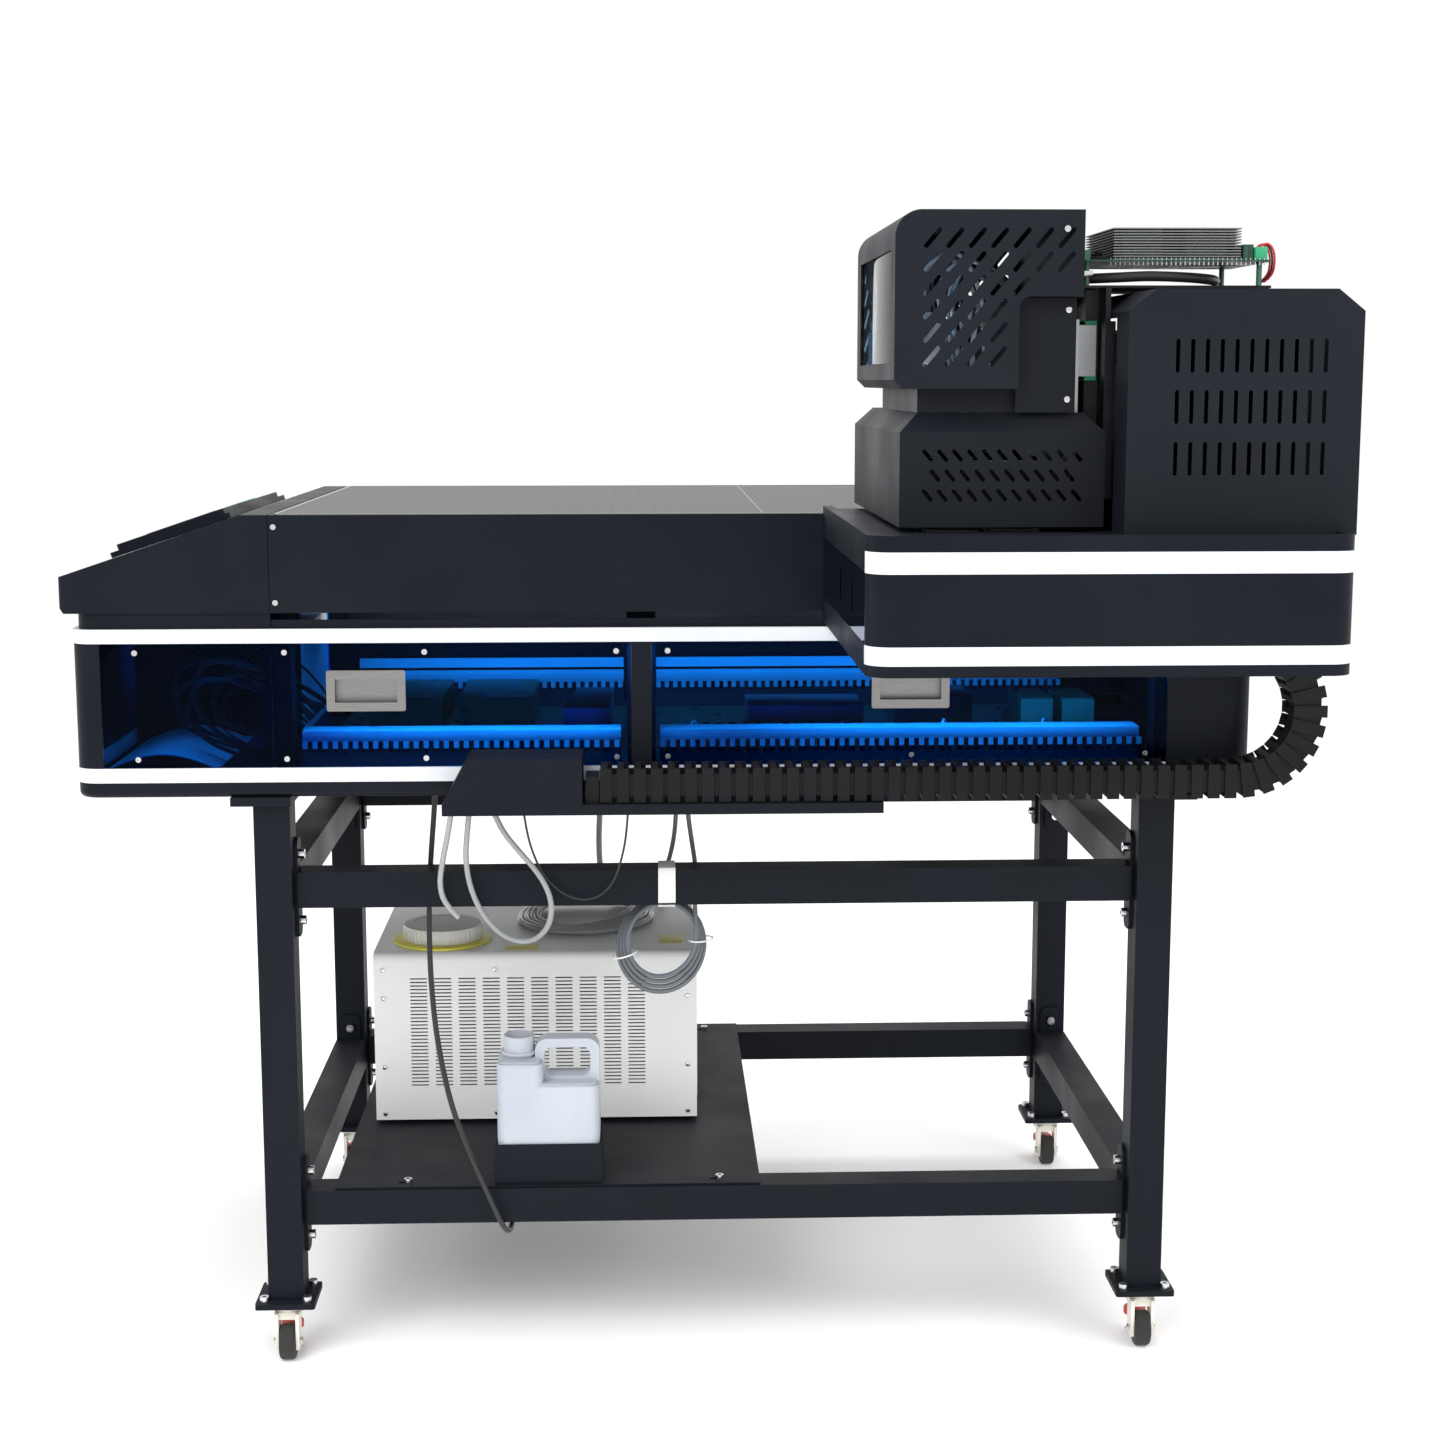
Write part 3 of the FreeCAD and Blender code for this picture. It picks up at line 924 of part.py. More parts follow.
def make_lower_cover():
    """Lower head cover: chamfered hood with slanted vents, its back edge open for the lift."""
    x0, x1 = LOWER_X0, LOWER_X0 + LOWER_LENGTH
    y0, y1 = LOWER_Y0, LOWER_Y0 + LOWER_DEPTH
    z0, z1 = LOWER_Z0, LOWER_Z0 + LOWER_H
    outer = box(x0, x1, y0, y1, z0, z1)
    outer = outer.makeChamfer(LOWER_CHAMFER, [e for e in outer.Edges if e.BoundBox.ZMin > z1 - 1])
    inner = box(x0 + SHEET, x1 - SHEET, y0 + SHEET, y1 - SHEET, z0 - 1, z1 - SHEET)
    inner = inner.makeChamfer(LOWER_CHAMFER - 0.8,
                              [e for e in inner.Edges if e.BoundBox.ZMin > z1 - SHEET - 1])
    back = box(BACK_X0 - 3, x1 + 1, CARRIAGE_Y0 - 6, CARRIAGE_Y1 + 6, z0 - 1, z1 + 1)
    vents = []
    for row, count in enumerate((11, 10, 11)):
        for column in range(count):
            x = x0 + 32 + column * 17.0 + (8.5 if count == 10 else 0)
            vents.append(slot_y(x, z1 - 48 - row * 22.5, 17, 4.6, 50, y0 - 1, y1 + 1))
    neck_hole = box(NECK_X0 + SHEET, NECK_X1 - SHEET, NECK_Y0 + SHEET, NECK_Y1 - SHEET,
                    z1 - SHEET - 1, z1 + 1)
    return cut(outer, [inner, back, neck_hole] + vents)


NECK_X0, NECK_X1 = LOWER_X0 + 22.0, BACK_X0 - 1.0
NECK_Y0, NECK_Y1 = -488.0, -120.0


def upper_outline(inset):
    """Outline of the upper head cover: an L turned over, with one round shoulder."""
    x0, x1 = UPPER_X0 + inset, UPPER_X0 + UPPER_LENGTH - inset
    z0, z1 = UPPER_Z0, UPPER_Z0 + UPPER_H - inset
    notch_x = UPPER_X0 + UPPER_NOTCH_X - inset
    notch_z = UPPER_Z0 + UPPER_NOTCH_H + inset
    r = UPPER_TOP_R - inset
    bend = 14.0 + inset
    k = math.sqrt(0.5)
    edges = [Part.LineSegment(V(x0 + 10, 0, z0), V(x0, 0, z0 + 10)),
             Part.LineSegment(V(x0, 0, z0 + 10), V(x0, 0, z1 - r)),
             Part.Arc(V(x0, 0, z1 - r), V(x0 + r - r * k, 0, z1 - r + r * k), V(x0 + r, 0, z1)),
             Part.LineSegment(V(x0 + r, 0, z1), V(x1, 0, z1)),
             Part.LineSegment(V(x1, 0, z1), V(x1, 0, notch_z)),
             Part.LineSegment(V(x1, 0, notch_z), V(notch_x + bend, 0, notch_z)),
             Part.Arc(V(notch_x + bend, 0, notch_z),
                      V(notch_x + bend - bend * k, 0, notch_z - bend + bend * k),
                      V(notch_x, 0, notch_z - bend)),
             Part.LineSegment(V(notch_x, 0, notch_z - bend), V(notch_x, 0, z0)),
             Part.LineSegment(V(notch_x, 0, z0), V(x0 + 10, 0, z0))]
    return Part.Face(Part.Wire([e.toShape() for e in edges]))


def make_upper_cover():
    """Upper head cover, its neck sleeve and the inner cover behind the notch."""
    y0, y1 = UPPER_Y0, UPPER_Y0 + UPPER_DEPTH
    outer = upper_outline(0).extrude(V(0, y1 - y0, 0))
    outer.translate(V(0, y0, 0))
    inner = upper_outline(SHEET).extrude(V(0, y1 - y0 - 2 * SHEET, 0))
    inner.translate(V(0, y0 + SHEET, 0))
    vents = []
    for row, count in enumerate((7, 7, 5, 4, 4, 4)):
        for column in range(count):
            vents.append(slot_y(UPPER_X0 + 42 + column * 25, UPPER_Z0 + UPPER_H - 31 - row * 26,
                                28, 5.4, -50, y0 - 1, y1 + 1))
    window = box(UPPER_X0 - 1, UPPER_X0 + SHEET + 1, y0 + 40, y1 - 40, UPPER_Z0 + 28,
                 UPPER_Z0 + UPPER_H - 42)
    belly = box(UPPER_X0 + 24, UPPER_X0 + UPPER_NOTCH_X - 6, y0 + 36, y1 - 30, UPPER_Z0 - 1,
                UPPER_Z0 + SHEET + 1)
    shell = cut(outer, [inner, window, belly] + vents)
    neck = tube_box(NECK_X0, NECK_X1, NECK_Y0, NECK_Y1, LOWER_Z0 + LOWER_H + 0.2,
                    UPPER_Z0 - 0.2, SHEET, "z")
    x0 = UPPER_X0 + UPPER_NOTCH_X + 1
    cheek = box(x0, NECK_X1, NECK_Y0 - 12, NECK_Y0 - 10, UPPER_Z0 - 26.8,
                UPPER_Z0 + UPPER_NOTCH_H - 0.5)
    roof = box(x0, NECK_X1, NECK_Y0 - 10, NECK_Y1, UPPER_Z0 + UPPER_NOTCH_H - 2.5,
               UPPER_Z0 + UPPER_NOTCH_H - 0.5)
    return [shell, neck, fused([cheek, roof])]


SINK_X0, SINK_LENGTH, SINK_Z0, SINK_H = 1079.0, 148.0, BOARD_Z + BOARD_T, 38.0


def make_board():
    """Head control board on standoffs, with terminals."""
    x0, x1 = BOARD_X0, BOARD_X0 + BOARD_LENGTH
    y0, y1 = BOARD_Y0, BOARD_Y0 + BOARD_DEPTH
    board = box(x0, x1, y0, y1, BOARD_Z, BOARD_Z + BOARD_T)
    standoffs = [rod(x, y, CARRIAGE_Z1 + 3, 3.2, BOARD_Z - CARRIAGE_Z1 - 3)
                 for x in (x0 + 14, x1 - 12) for y in (y0 + 10, y1 - 10)]
    terminals = [box(x1 - 30, x1 - 18, y, y + 30, BOARD_Z + BOARD_T, BOARD_Z + BOARD_T + 18)
                 for y in (y0 + 14, y0 + 70, y0 + 120)]
    sockets = [box(x0 + 6, x0 + 18, y, y + 26, BOARD_Z + BOARD_T, BOARD_Z + BOARD_T + 11)
               for y in (y0 + 10, y0 + 50, y0 + 90, y0 + 130)]
    return [board, *standoffs, *terminals, *sockets]


def make_heat_sink():
    """Finned heat sink over the board: stacked flat fins on two cores."""
    y0, y1 = BOARD_Y0 + 12, BOARD_Y0 + BOARD_DEPTH - 12
    fins = []
    count = 12
    pitch = SINK_H / count
    for i in range(count):
        z = SINK_Z0 + 0.4 + i * pitch
        fins.append(box(SINK_X0, SINK_X0 + SINK_LENGTH, y0, y1, z, z + pitch * 0.45))
    cores = [box(SINK_X0 + 14 + i * SINK_LENGTH / 2, SINK_X0 + 60 + i * SINK_LENGTH / 2, y0 + 16,
                 y1 - 16, SINK_Z0, SINK_Z0 + SINK_H - 1) for i in (0, 1)]
    return [fused(fins + cores)]


# ------------------------------------------------------------------ drag chain
def make_link():
    """One chain link from its first joint along +X: two stepped side plates, two cross bars."""
    h, p = CHAIN_H / 2, CHAIN_PITCH
    layer = PLATE_LAYER
    side = fused([box(LINK_END, p - LINK_END, 0, layer, -h, h),
                  box(p * 0.5, p - LINK_END, layer - 0.1, layer + 0.4, -h + 5, h - 5),
                  box(p * 0.5, p + 6.8, layer + 0.3, 2 * layer + 0.3, -h + 8, h - 8)])
    other = side.mirror(V(0, CHAIN_W / 2, 0), AXIS_Y)
    bars = [box(5, 13, 0.5, CHAIN_W - 0.5, -h, -h + 3), box(5, 13, 0.5, CHAIN_W - 0.5, h - 3, h)]
    return fused([side, other] + bars)


LINK = make_link()


def place_link(x, z, angle):
    """A link with its first joint at (x, z), turned up by an angle in degrees."""
    link = LINK.copy()
    link.rotate(V(0, 0, 0), AXIS_Y, -angle)
    link.translate(V(x, CHAIN_Y0, z))
    return link


def chain_lower():
    """Straight lower run with its fixed end bracket."""
    links = [place_link(CHAIN_FIXED_X + i * CHAIN_PITCH, CHAIN_LOW_Z, 0)
             for i in range(CHAIN_LOWER_LINKS)]
    bracket = box(CHAIN_FIXED_X - 16, CHAIN_FIXED_X + 2, CHAIN_Y0 + 4, CHAIN_Y0 + CHAIN_W - 4,
                  TRAY_TOP + 0.3, CHAIN_LOW_Z + 12)
    return links + [bracket]


def chain_loop():
    """Half turn of the chain at the rear."""
    step = 180.0 / CHAIN_LOOP_LINKS
    links = []
    for i in range(CHAIN_LOOP_LINKS):
        a = math.radians(-90 + i * step)
        x = CHAIN_BEND_X + CHAIN_R * math.cos(a)
        z = CHAIN_LOW_Z + CHAIN_R + CHAIN_R * math.sin(a)
        links.append(place_link(x, z, (i + 0.5) * step))
    return links


def chain_upper():
    """Short stub of the upper run under the end box, with its end bracket."""
    links = [place_link(CHAIN_BEND_X - i * CHAIN_PITCH, CHAIN_TOP_Z, 180)
             for i in range(CHAIN_UPPER_LINKS)]
    x = CHAIN_BEND_X - CHAIN_UPPER_LINKS * CHAIN_PITCH
    bracket = box(x - 22, x - 8, CHAIN_Y0 + 4, CHAIN_Y0 + CHAIN_W - 4, CHAIN_TOP_Z - 12,
                  END_BOX_BOTTOM)
    return links + [bracket]


TRAY_TOP = CHAIN_LOW_Z - CHAIN_H / 2 - 1.5


def make_tray():
    """Channel that the lower run lies on, hung from the base pan."""
    x0, x1 = TRAY_X0, TRAY_X0 + TRAY_LENGTH
    y0 = CHAIN_Y0 - 6
    floor = box(x0, x1, y0, BODY_SIDE - 1, TRAY_TOP - TRAY_T, TRAY_TOP)
    lip = box(x0, x1, y0, y0 + TRAY_T, TRAY_TOP - TRAY_LIP, TRAY_TOP)
    drop = TRAY_TOP - TRAY_T
    tabs = [box(x, x + 60, BODY_SIDE - 20, BODY_SIDE + 60, BODY_BOTTOM - TRAY_T, BODY_BOTTOM)
            for x in (x0 + 30, x0 + 270, x1 - 90)]
    webs = [box(x, x + 60, BODY_SIDE - 20, BODY_SIDE - 17, BODY_BOTTOM - TRAY_T, drop + TRAY_T)
            for x in (x0 + 30, x0 + 270, x1 - 90)]
    return fused([floor, lip] + tabs + webs)


def make_chain_cover():
    """Wedge-fronted cover over the chain's fixed end."""
    x0, x1 = TRAY_X0, CHAIN_FIXED_X - 20
    outline = [(x0, TRAY_TOP + 0.2), (x0 + 34, TRAY_TOP + 62), (x1, TRAY_TOP + 62),
               (x1, TRAY_TOP + 0.2)]
    inside = [(x0 + 4, TRAY_TOP - 1), (x0 + 36, TRAY_TOP + 60), (x1 + 1, TRAY_TOP + 60),
              (x1 + 1, TRAY_TOP - 1)]
    y0, y1 = CHAIN_Y0 - 6, BODY_SIDE - 1
    return prism_y(outline, y0, y1).cut(prism_y(inside, y0 + SHEET, y1 - SHEET))


# ------------------------------------------------------------------ casters
WHEEL_R, WHEEL_W = 25.0, 22.0
WHEEL_TRAIL, FOOT_SHIFT = -16.0, 25.0
FOOT_TRAVEL = 14.0
CASTER_PAD_CLEAR = 6.0


def make_fork(cx, cy):
    """Swivel bracket: head disc, two cheeks, an axle and the foot's threaded boss."""
    wy, fy = cy + WHEEL_TRAIL, cy + FOOT_SHIFT
    head = rod(cx, cy, CASTER_HEIGHT - 12, 24.0, 11.5)
    bridge = box(cx - 18, cx + 18, wy - 8, fy + 14, CASTER_HEIGHT - 22, CASTER_HEIGHT - 11)
    inner = WHEEL_W / 2 + 1.0
    cheeks = []
    for side in (-1, 1):
        xa, xb = sorted((cx + side * inner, cx + side * (inner + 5)))
        cheeks.append(box(xa, xb, wy - 12, wy + 14, WHEEL_R - 9, CASTER_HEIGHT - 12))
    axle = rod(cx - inner - 5, wy, WHEEL_R, 4.0, 2 * inner + 10, AXIS_X)
    boss = rod(cx, fy, CASTER_HEIGHT - 36, 11.0, 16.0)
    frame = fused([head, bridge, boss] + cheeks + [axle])
    return frame.cut(rod(cx, fy, CASTER_HEIGHT - 60, 5.05, 56.0))


def make_wheel(cx, cy):
    """Wheel with a bore and rounded tread."""
    wheel = rod(cx - WHEEL_W / 2, cy + WHEEL_TRAIL, WHEEL_R, WHEEL_R, WHEEL_W, AXIS_X)
    wheel = wheel.makeFillet(4.0, [e for e in wheel.Edges if e.Length > WHEEL_R * 5])
    return wheel.cut(rod(cx - WHEEL_W, cy + WHEEL_TRAIL, WHEEL_R, 4.05, 2 * WHEEL_W, AXIS_X))


def make_foot(cx, cy):
    """Levelling foot: stem, fluted thumbwheel and pad in one piece."""
    fy = cy + FOOT_SHIFT
    stem = rod(cx, fy, CASTER_PAD_CLEAR + 4, 5.0, CASTER_HEIGHT - CASTER_PAD_CLEAR - 4 - 6)
    thumb = rod(cx, fy, 30, 16.0, 9.0)
    flutes = [rod(cx + 17.5 * math.cos(a), fy + 17.5 * math.sin(a), 29, 2.6, 11.0)
              for a in [i * math.pi / 6 for i in range(12)]]
    pad = Part.makeCone(13.0, 9.0, 8.0, V(cx, fy, CASTER_PAD_CLEAR), AXIS_Z)
    return fused([stem, cut(thumb, flutes), pad])


# ------------------------------------------------------------------ hoses and cables
HOSE_R, CABLE_R = 4.0, 4.0
WIRE_R, COIL_CABLE_R, COIL_HOSE_R = 1.6, 3.4, 5.0
# Loop of clear hose in front of the upper rail, from under the chain tray and back up to it.
SUPPLY_ROUTE = [(298, -22, 803), (294, -16, 768), (290, -9, 730), (295, 0, 686), (313, 4, 644),
                (343, 5, 612), (379, 4, 606), (405, 1, 630), (409, -3, 668), (393, -10, 706),
                (363, -15, 742), (339, -19, 774), (329, -24, 803)]
# Short end of clear hose, and a thin wire that sags in front of the rail.
DRAIN_ROUTE = [(274, -22, 803), (268, -16, 768), (259, -8, 728), (253, -2, 694), (259, 0, 664),
               (279, 1, 644)]
THIN_ROUTE = [(371, -20, 803), (374, -16, 776), (381, -9, 742), (395, -2, 706), (417, 3, 680),
              (445, 5, 666), (473, 4, 670), (495, 1, 693), (507, -5, 732), (513, -12, 768),
              (515, -18, 803)]
# Ends of the two coils: up to the body, and down into the chiller.
CABLE_DOWN_ROUTE = [(596, 86, 817), (598, 88, 780), (604, 92, 735), (612, 98, 690), (603, 101, 656)]
CABLE_UP_ROUTE = [(584, 94, 817), (583, 96, 780), (580, 100, 735), (572, 104, 690), (567, 103, 663)]
HOSE_DOWN_ROUTE = [(470, 655, 817), (470, 652, 770), (468, 645, 720), (464, 636, 670),
                   (462, 624, 615), (466, 614, 572)]
HOSE_TAIL_ROUTE = [(498, 634, 562), (530, 645, 563), (560, 648, 549), (570, 648, 520)]
# Black lead: behind the upper rail, forward past the jug, in front of the lower rail, then
# back under the shelf to its cable hole.
LEAD_ROUTE = [(241, 98, 817), (240, 98, 790), (236, 97, 745), (232, 94, 695), (230, 88, 642),
              (230, 78, 586), (233, 64, 530), (239, 48, 474), (249, 32, 420), (263, 16, 366),
              (283, 4, 314), (305, -4, 264), (323, -5, 222), (335, 8, 188), (341, 36, 174),
              (343, 72, 176), (343, 104, 192), (342, 124, 218), (342, 130, 244)]


def tube_path(points):
    """Straight runs joined by tangent arcs, each as large as its two runs allow."""
    corners = [V(*p) for p in points]
    edges, start, radii = [], corners[0], []
    for before, corner, after in zip(corners, corners[1:], corners[2:]):
        a, b = before - corner, after - corner
        run = min(a.Length, b.Length)
        back, on = a.normalize(), b.normalize()
        turn = math.pi - back.getAngle(on)
        reach = 0.45 * run
        radii.append(reach / math.tan(turn / 2))
        first, last = corner + back * reach, corner + on * reach
        middle = corner + (back + on).normalize() * (radii[-1] / math.cos(turn / 2) - radii[-1])
        edges += [Part.LineSegment(start, first).toShape(), Part.Arc(first, middle, last).toShape()]
        start = last
    edges.append(Part.LineSegment(start, corners[-1]).toShape())
    return Part.Wire(edges), radii


def make_tube(name, points, radius):
    """Solid tube along a route, with its length and radii printed."""
    wire, radii = tube_path(points)
    start = wire.Vertexes[0].Point
    circle = Part.makeCircle(radius, start, V(*points[1]) - V(*points[0]))
    tube = wire.makePipeShell([Part.Wire(circle)], True, True)
    print(name, "length %.0f" % wire.Length, "volume ratio %.4f" % (
        tube.Volume / (math.pi * radius ** 2 * wire.Length)),
        "smallest radius %.0f" % min(radii), "radii", ["%.0f" % r for r in radii])
    return Part.Solid(tube) if tube.ShapeType != "Solid" else tube


HOSE_COIL_X, HOSE_COIL_Y, HOSE_COIL_R = 440.0, 508.0, 98.0
HOSE_COIL_W, HOSE_COIL_H = 52.0, 44.0
CABLE_COIL_X, CABLE_COIL_Y, CABLE_COIL_Z = 562.0, 102.0, 580.0
CABLE_COIL_RX, CABLE_COIL_RZ = 56.0, 64.0


def make_hose_coil():
    """Outer shape of the hose coil that lies on the chiller."""
    z0 = CHILLER_Z1
    ring = Part.makeCylinder(HOSE_COIL_R + HOSE_COIL_W / 2, HOSE_COIL_H,
                             V(HOSE_COIL_X, HOSE_COIL_Y, z0), AXIS_Z)
    ring = ring.cut(rod(HOSE_COIL_X, HOSE_COIL_Y, z0 - 1, HOSE_COIL_R - HOSE_COIL_W / 2,
                        HOSE_COIL_H + 2))
    return ring.makeFillet(12.0, [e for e in ring.Edges if e.BoundBox.ZMin > z0 + HOSE_COIL_H - 1])


def make_cable_coil():
    """Outer shape of the cable coil that hangs behind the upper rail."""
    half_w, half_t = 15.0, 16.0
    y0 = CABLE_COIL_Y - half_t
    centre = V(CABLE_COIL_X, y0, CABLE_COIL_Z)

    def oval(rx, rz, y, depth):
        major, minor = (rz, rx)
        curve = Part.Ellipse(V(0, 0, 0), major, minor)
        face = Part.Face(Part.Wire(curve.toShape()))
        face.rotate(V(0, 0, 0), AXIS_Z, 90)
        face.rotate(V(0, 0, 0), AXIS_X, 90)
        face.translate(V(centre.x, y, centre.z))
        return face.extrude(V(0, depth, 0))
    outer = oval(CABLE_COIL_RX + half_w, CABLE_COIL_RZ + half_w, y0, 2 * half_t)
    inner = oval(CABLE_COIL_RX - half_w, CABLE_COIL_RZ - half_w, y0 - 1, 2 * half_t + 2)
    return outer.cut(inner)


# ------------------------------------------------------------------ build every node
def main():
    """Build and write every node."""
    os.makedirs("parts", exist_ok=True)

    save("stand_legs", [make_leg(x, y) for x in LEG_X for y in LEG_Y])
    save("stand_rails", make_rails())
    save("rail_brackets", brackets)
    save("fasteners", fasteners)
    save("shelf_plate", [make_shelf()])
    save("chiller_body", make_chiller())
    save("chiller_cap", [make_cap()])
    save("jug", [make_jug()])

    save("base_pan", [make_base_pan()])
    save("front_casing", [make_nose(),
                          make_u_shell(BODY_FRONT, FRONT_PANE_X0 - 0.5, WINDOW_Z + 0.3,
                                       UP_LED_Z - 0.3, 0.0, True)])
    save("side_panels", make_side_panels())
    save("rear_casing", [make_u_shell(REAR_CASING_X + 0.4, BODY_REAR, LOW_LED_Z + 0.3,
                                      NECK_Z, 0.0, False)])
    save("body_frame", make_body_frame())
    save("led_strips", [make_led_rings(LOW_LED_Z + 0.2, WINDOW_Z), make_led_rings(UP_LED_Z,
                                                                                  NECK_Z)])
    near_panes = make_panes([handle_hole(x) for x in HANDLE_X])
    save("acrylic_panels", [piece for pane in near_panes for piece in both_sides(pane)])
    save("door_handles", [piece for x in HANDLE_X for piece in both_sides(make_handle(x))])
    save("table_plate", [box(FRONT_SEAM + 2, BODY_REAR - 5, BODY_SIDE + TABLE_MARGIN,
                             BODY_FAR - TABLE_MARGIN, TABLE_BOTTOM, TABLE_TOP)])
    save("control_panel", [slope_slab(60, 234, 0.3, 8.0, PANEL_Y0, PANEL_Y1, 8.0),
                           slope_slab(70, 226, 8.0, 16.0, PANEL_Y0 + 10, PANEL_Y1 - 10, 8.0)])
    save("electronics_bay", make_electronics())
    save("wiring_ducts", [make_duct(62, 505, 57), make_duct(560, 1235, 57),
                          make_duct(62, 505, 2 * MID_Y - 140), make_duct(560, 1235,
                                                                         2 * MID_Y - 140)])
    save("gantry_rails", both_sides(box(FRAME_X0 + 8, FRAME_X1 - 8, FRAME_Y - RAIL_BAR, FRAME_Y,
                                        GANTRY_RAIL_Z, GANTRY_RAIL_Z + RAIL_BAR)))
    save("drive_motor", make_drive_motor())
    save("drive_screw", [make_drive_screw()])

    save("gantry_arms", make_arm(True) + make_arm(False))
    save("end_box", [make_end_box()])
    save("end_box_window", [make_end_window()])
    save("gantry_led_strips", make_gantry_leds())
    save("far_end_box", [make_far_box()])
    save("gantry_beam", make_beam())
    save("beam_cover", [make_beam_cover()])
    save("capping_station", make_station())

    save("carriage_plate", make_carriage())
    save("lift_screw", [rod(LIFT_SCREW_X, LIFT_SCREW_Y, CARRIAGE_Z0 + 6, LIFT_SCREW_R,
                            CARRIAGE_Z1 - CARRIAGE_Z0 - 10)])
    save("head_plate", make_head_plate())
    save("print_heads", make_heads())
    save("head_cover_lower", [make_lower_cover()])
    save("head_cover_upper", make_upper_cover())
    save("head_board", make_board())
    save("heat_sink", make_heat_sink())

    save("chain_tray", [make_tray()])
    save("chain_end_cover", [make_chain_cover()])
    save("chain_lower_run", chain_lower())
    save("chain_loop", chain_loop())
    save("chain_upper_run", chain_upper())

    corner = 0
    for x in LEG_X:
        for y in LEG_Y:
            corner += 1
            cx, cy = leg_centre(x, y)
            save("caster_fork_%d" % corner, [make_fork(cx, cy)])
            save("caster_wheel_%d" % corner, [make_wheel(cx, cy)])
            save("levelling_foot_%d" % corner, [make_foot(cx, cy)])

    save("hose_coil", [make_hose_coil()])
    save("cable_coil", [make_cable_coil()])
    save("hanging_lines", [make_tube("supply hose", SUPPLY_ROUTE, HOSE_R),
                           make_tube("drain hose", DRAIN_ROUTE, HOSE_R),
                           make_tube("thin wire", THIN_ROUTE, WIRE_R),
                           make_tube("cable down", CABLE_DOWN_ROUTE, COIL_CABLE_R),
                           make_tube("cable up", CABLE_UP_ROUTE, COIL_CABLE_R),
                           make_tube("hose down", HOSE_DOWN_ROUTE, COIL_HOSE_R),
                           make_tube("hose tail", HOSE_TAIL_ROUTE, COIL_HOSE_R)])
    save("black_lead", [make_tube("black_lead", LEAD_ROUTE, CABLE_R)])
    print(len(NODES), "nodes")


main()
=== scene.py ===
import json
import logging
import math
import random
from dataclasses import dataclass, field
from enum import Enum

import bmesh
import bpy
from mathutils import Matrix, Vector

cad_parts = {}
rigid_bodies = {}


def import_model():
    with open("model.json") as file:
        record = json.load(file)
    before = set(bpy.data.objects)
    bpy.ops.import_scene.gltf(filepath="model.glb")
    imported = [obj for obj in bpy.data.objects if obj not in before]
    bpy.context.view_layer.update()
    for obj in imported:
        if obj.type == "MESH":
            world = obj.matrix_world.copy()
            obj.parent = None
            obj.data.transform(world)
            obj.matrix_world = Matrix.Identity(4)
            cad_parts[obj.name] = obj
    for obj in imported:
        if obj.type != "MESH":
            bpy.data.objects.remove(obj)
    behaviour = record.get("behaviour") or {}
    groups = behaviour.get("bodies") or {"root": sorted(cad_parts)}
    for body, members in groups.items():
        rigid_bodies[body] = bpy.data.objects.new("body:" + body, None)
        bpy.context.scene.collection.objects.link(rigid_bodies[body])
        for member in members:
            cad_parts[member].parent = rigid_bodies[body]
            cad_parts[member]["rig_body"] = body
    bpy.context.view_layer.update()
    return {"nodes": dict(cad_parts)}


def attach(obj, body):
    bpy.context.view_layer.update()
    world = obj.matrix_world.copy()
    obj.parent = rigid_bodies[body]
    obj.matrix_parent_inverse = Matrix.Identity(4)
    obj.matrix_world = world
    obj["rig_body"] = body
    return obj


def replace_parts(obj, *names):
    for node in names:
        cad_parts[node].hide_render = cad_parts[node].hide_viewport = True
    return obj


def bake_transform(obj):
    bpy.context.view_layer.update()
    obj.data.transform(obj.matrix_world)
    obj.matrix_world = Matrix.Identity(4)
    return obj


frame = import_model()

LOG = logging.getLogger("flatbed_printer")
MM = 0.001
# The machine's datum, at the corner of the near front leg, seen from the row frame's origin.
DATUM = Vector((603.75, 146.5, 0.0))
MID_Y = 409.0


class Axis(Enum):
    """Direction that a rod or ring follows."""

    Y = (0.0, 1.0, 0.0)
    Z = (0.0, 0.0, 1.0)


class Part(Enum):
    """CAD bodies that pieces ride on."""

    STAND = "stand"
    CARRIAGE = "carriage"
    HEAD = "head"
    CAP = "filler_cap"


def placed(x: float, y: float, z: float) -> Vector:
    """Turn machine millimetres into row-frame metres.

    Args:
        x: Distance along the machine from the datum.
        y: Distance across the machine from the datum.
        z: Height above the floor.

    Returns:
        The point in the row frame.
    """
    return (Vector((x, y, z)) - DATUM) * MM


# ---------------------------------------------------------------- shader groups
def new_group(name: str, inputs: dict[str, float], outputs: list[str]) -> bpy.types.NodeTree:
    """Make an empty shader group with float sockets.

    Args:
        name: Name of the group.
        inputs: Socket names and their usual values.
        outputs: Names of the float outputs.

    Returns:
        The group, with its input and output nodes named IN and OUT.
    """
    tree = bpy.data.node_groups.new(name, "ShaderNodeTree")
    for socket, value in inputs.items():
        made = tree.interface.new_socket(socket, in_out="INPUT", socket_type="NodeSocketFloat")
        made.default_value = value
    for socket in outputs:
        tree.interface.new_socket(socket, in_out="OUTPUT", socket_type="NodeSocketFloat")
    tree.nodes.new("NodeGroupInput").name = "IN"
    tree.nodes.new("NodeGroupOutput").name = "OUT"
    return tree


def math_node(tree: bpy.types.NodeTree, operation: str, first, second=None):
    """Add a Math node fed by sockets or numbers.

    Args:
        tree: Tree that gets the node.
        operation: The Math node's operation.
        first: First input, a socket or a number.
        second: Second input, if the operation has one.

    Returns:
        The node's output socket.
    """
    node = tree.nodes.new("ShaderNodeMath")
    node.operation = operation
    for index, value in enumerate((first, second)):
        if isinstance(value, bpy.types.NodeSocket):
            tree.links.new(value, node.inputs[index])
        elif value is not None:
            node.inputs[index].default_value = value
    return node.outputs[0]


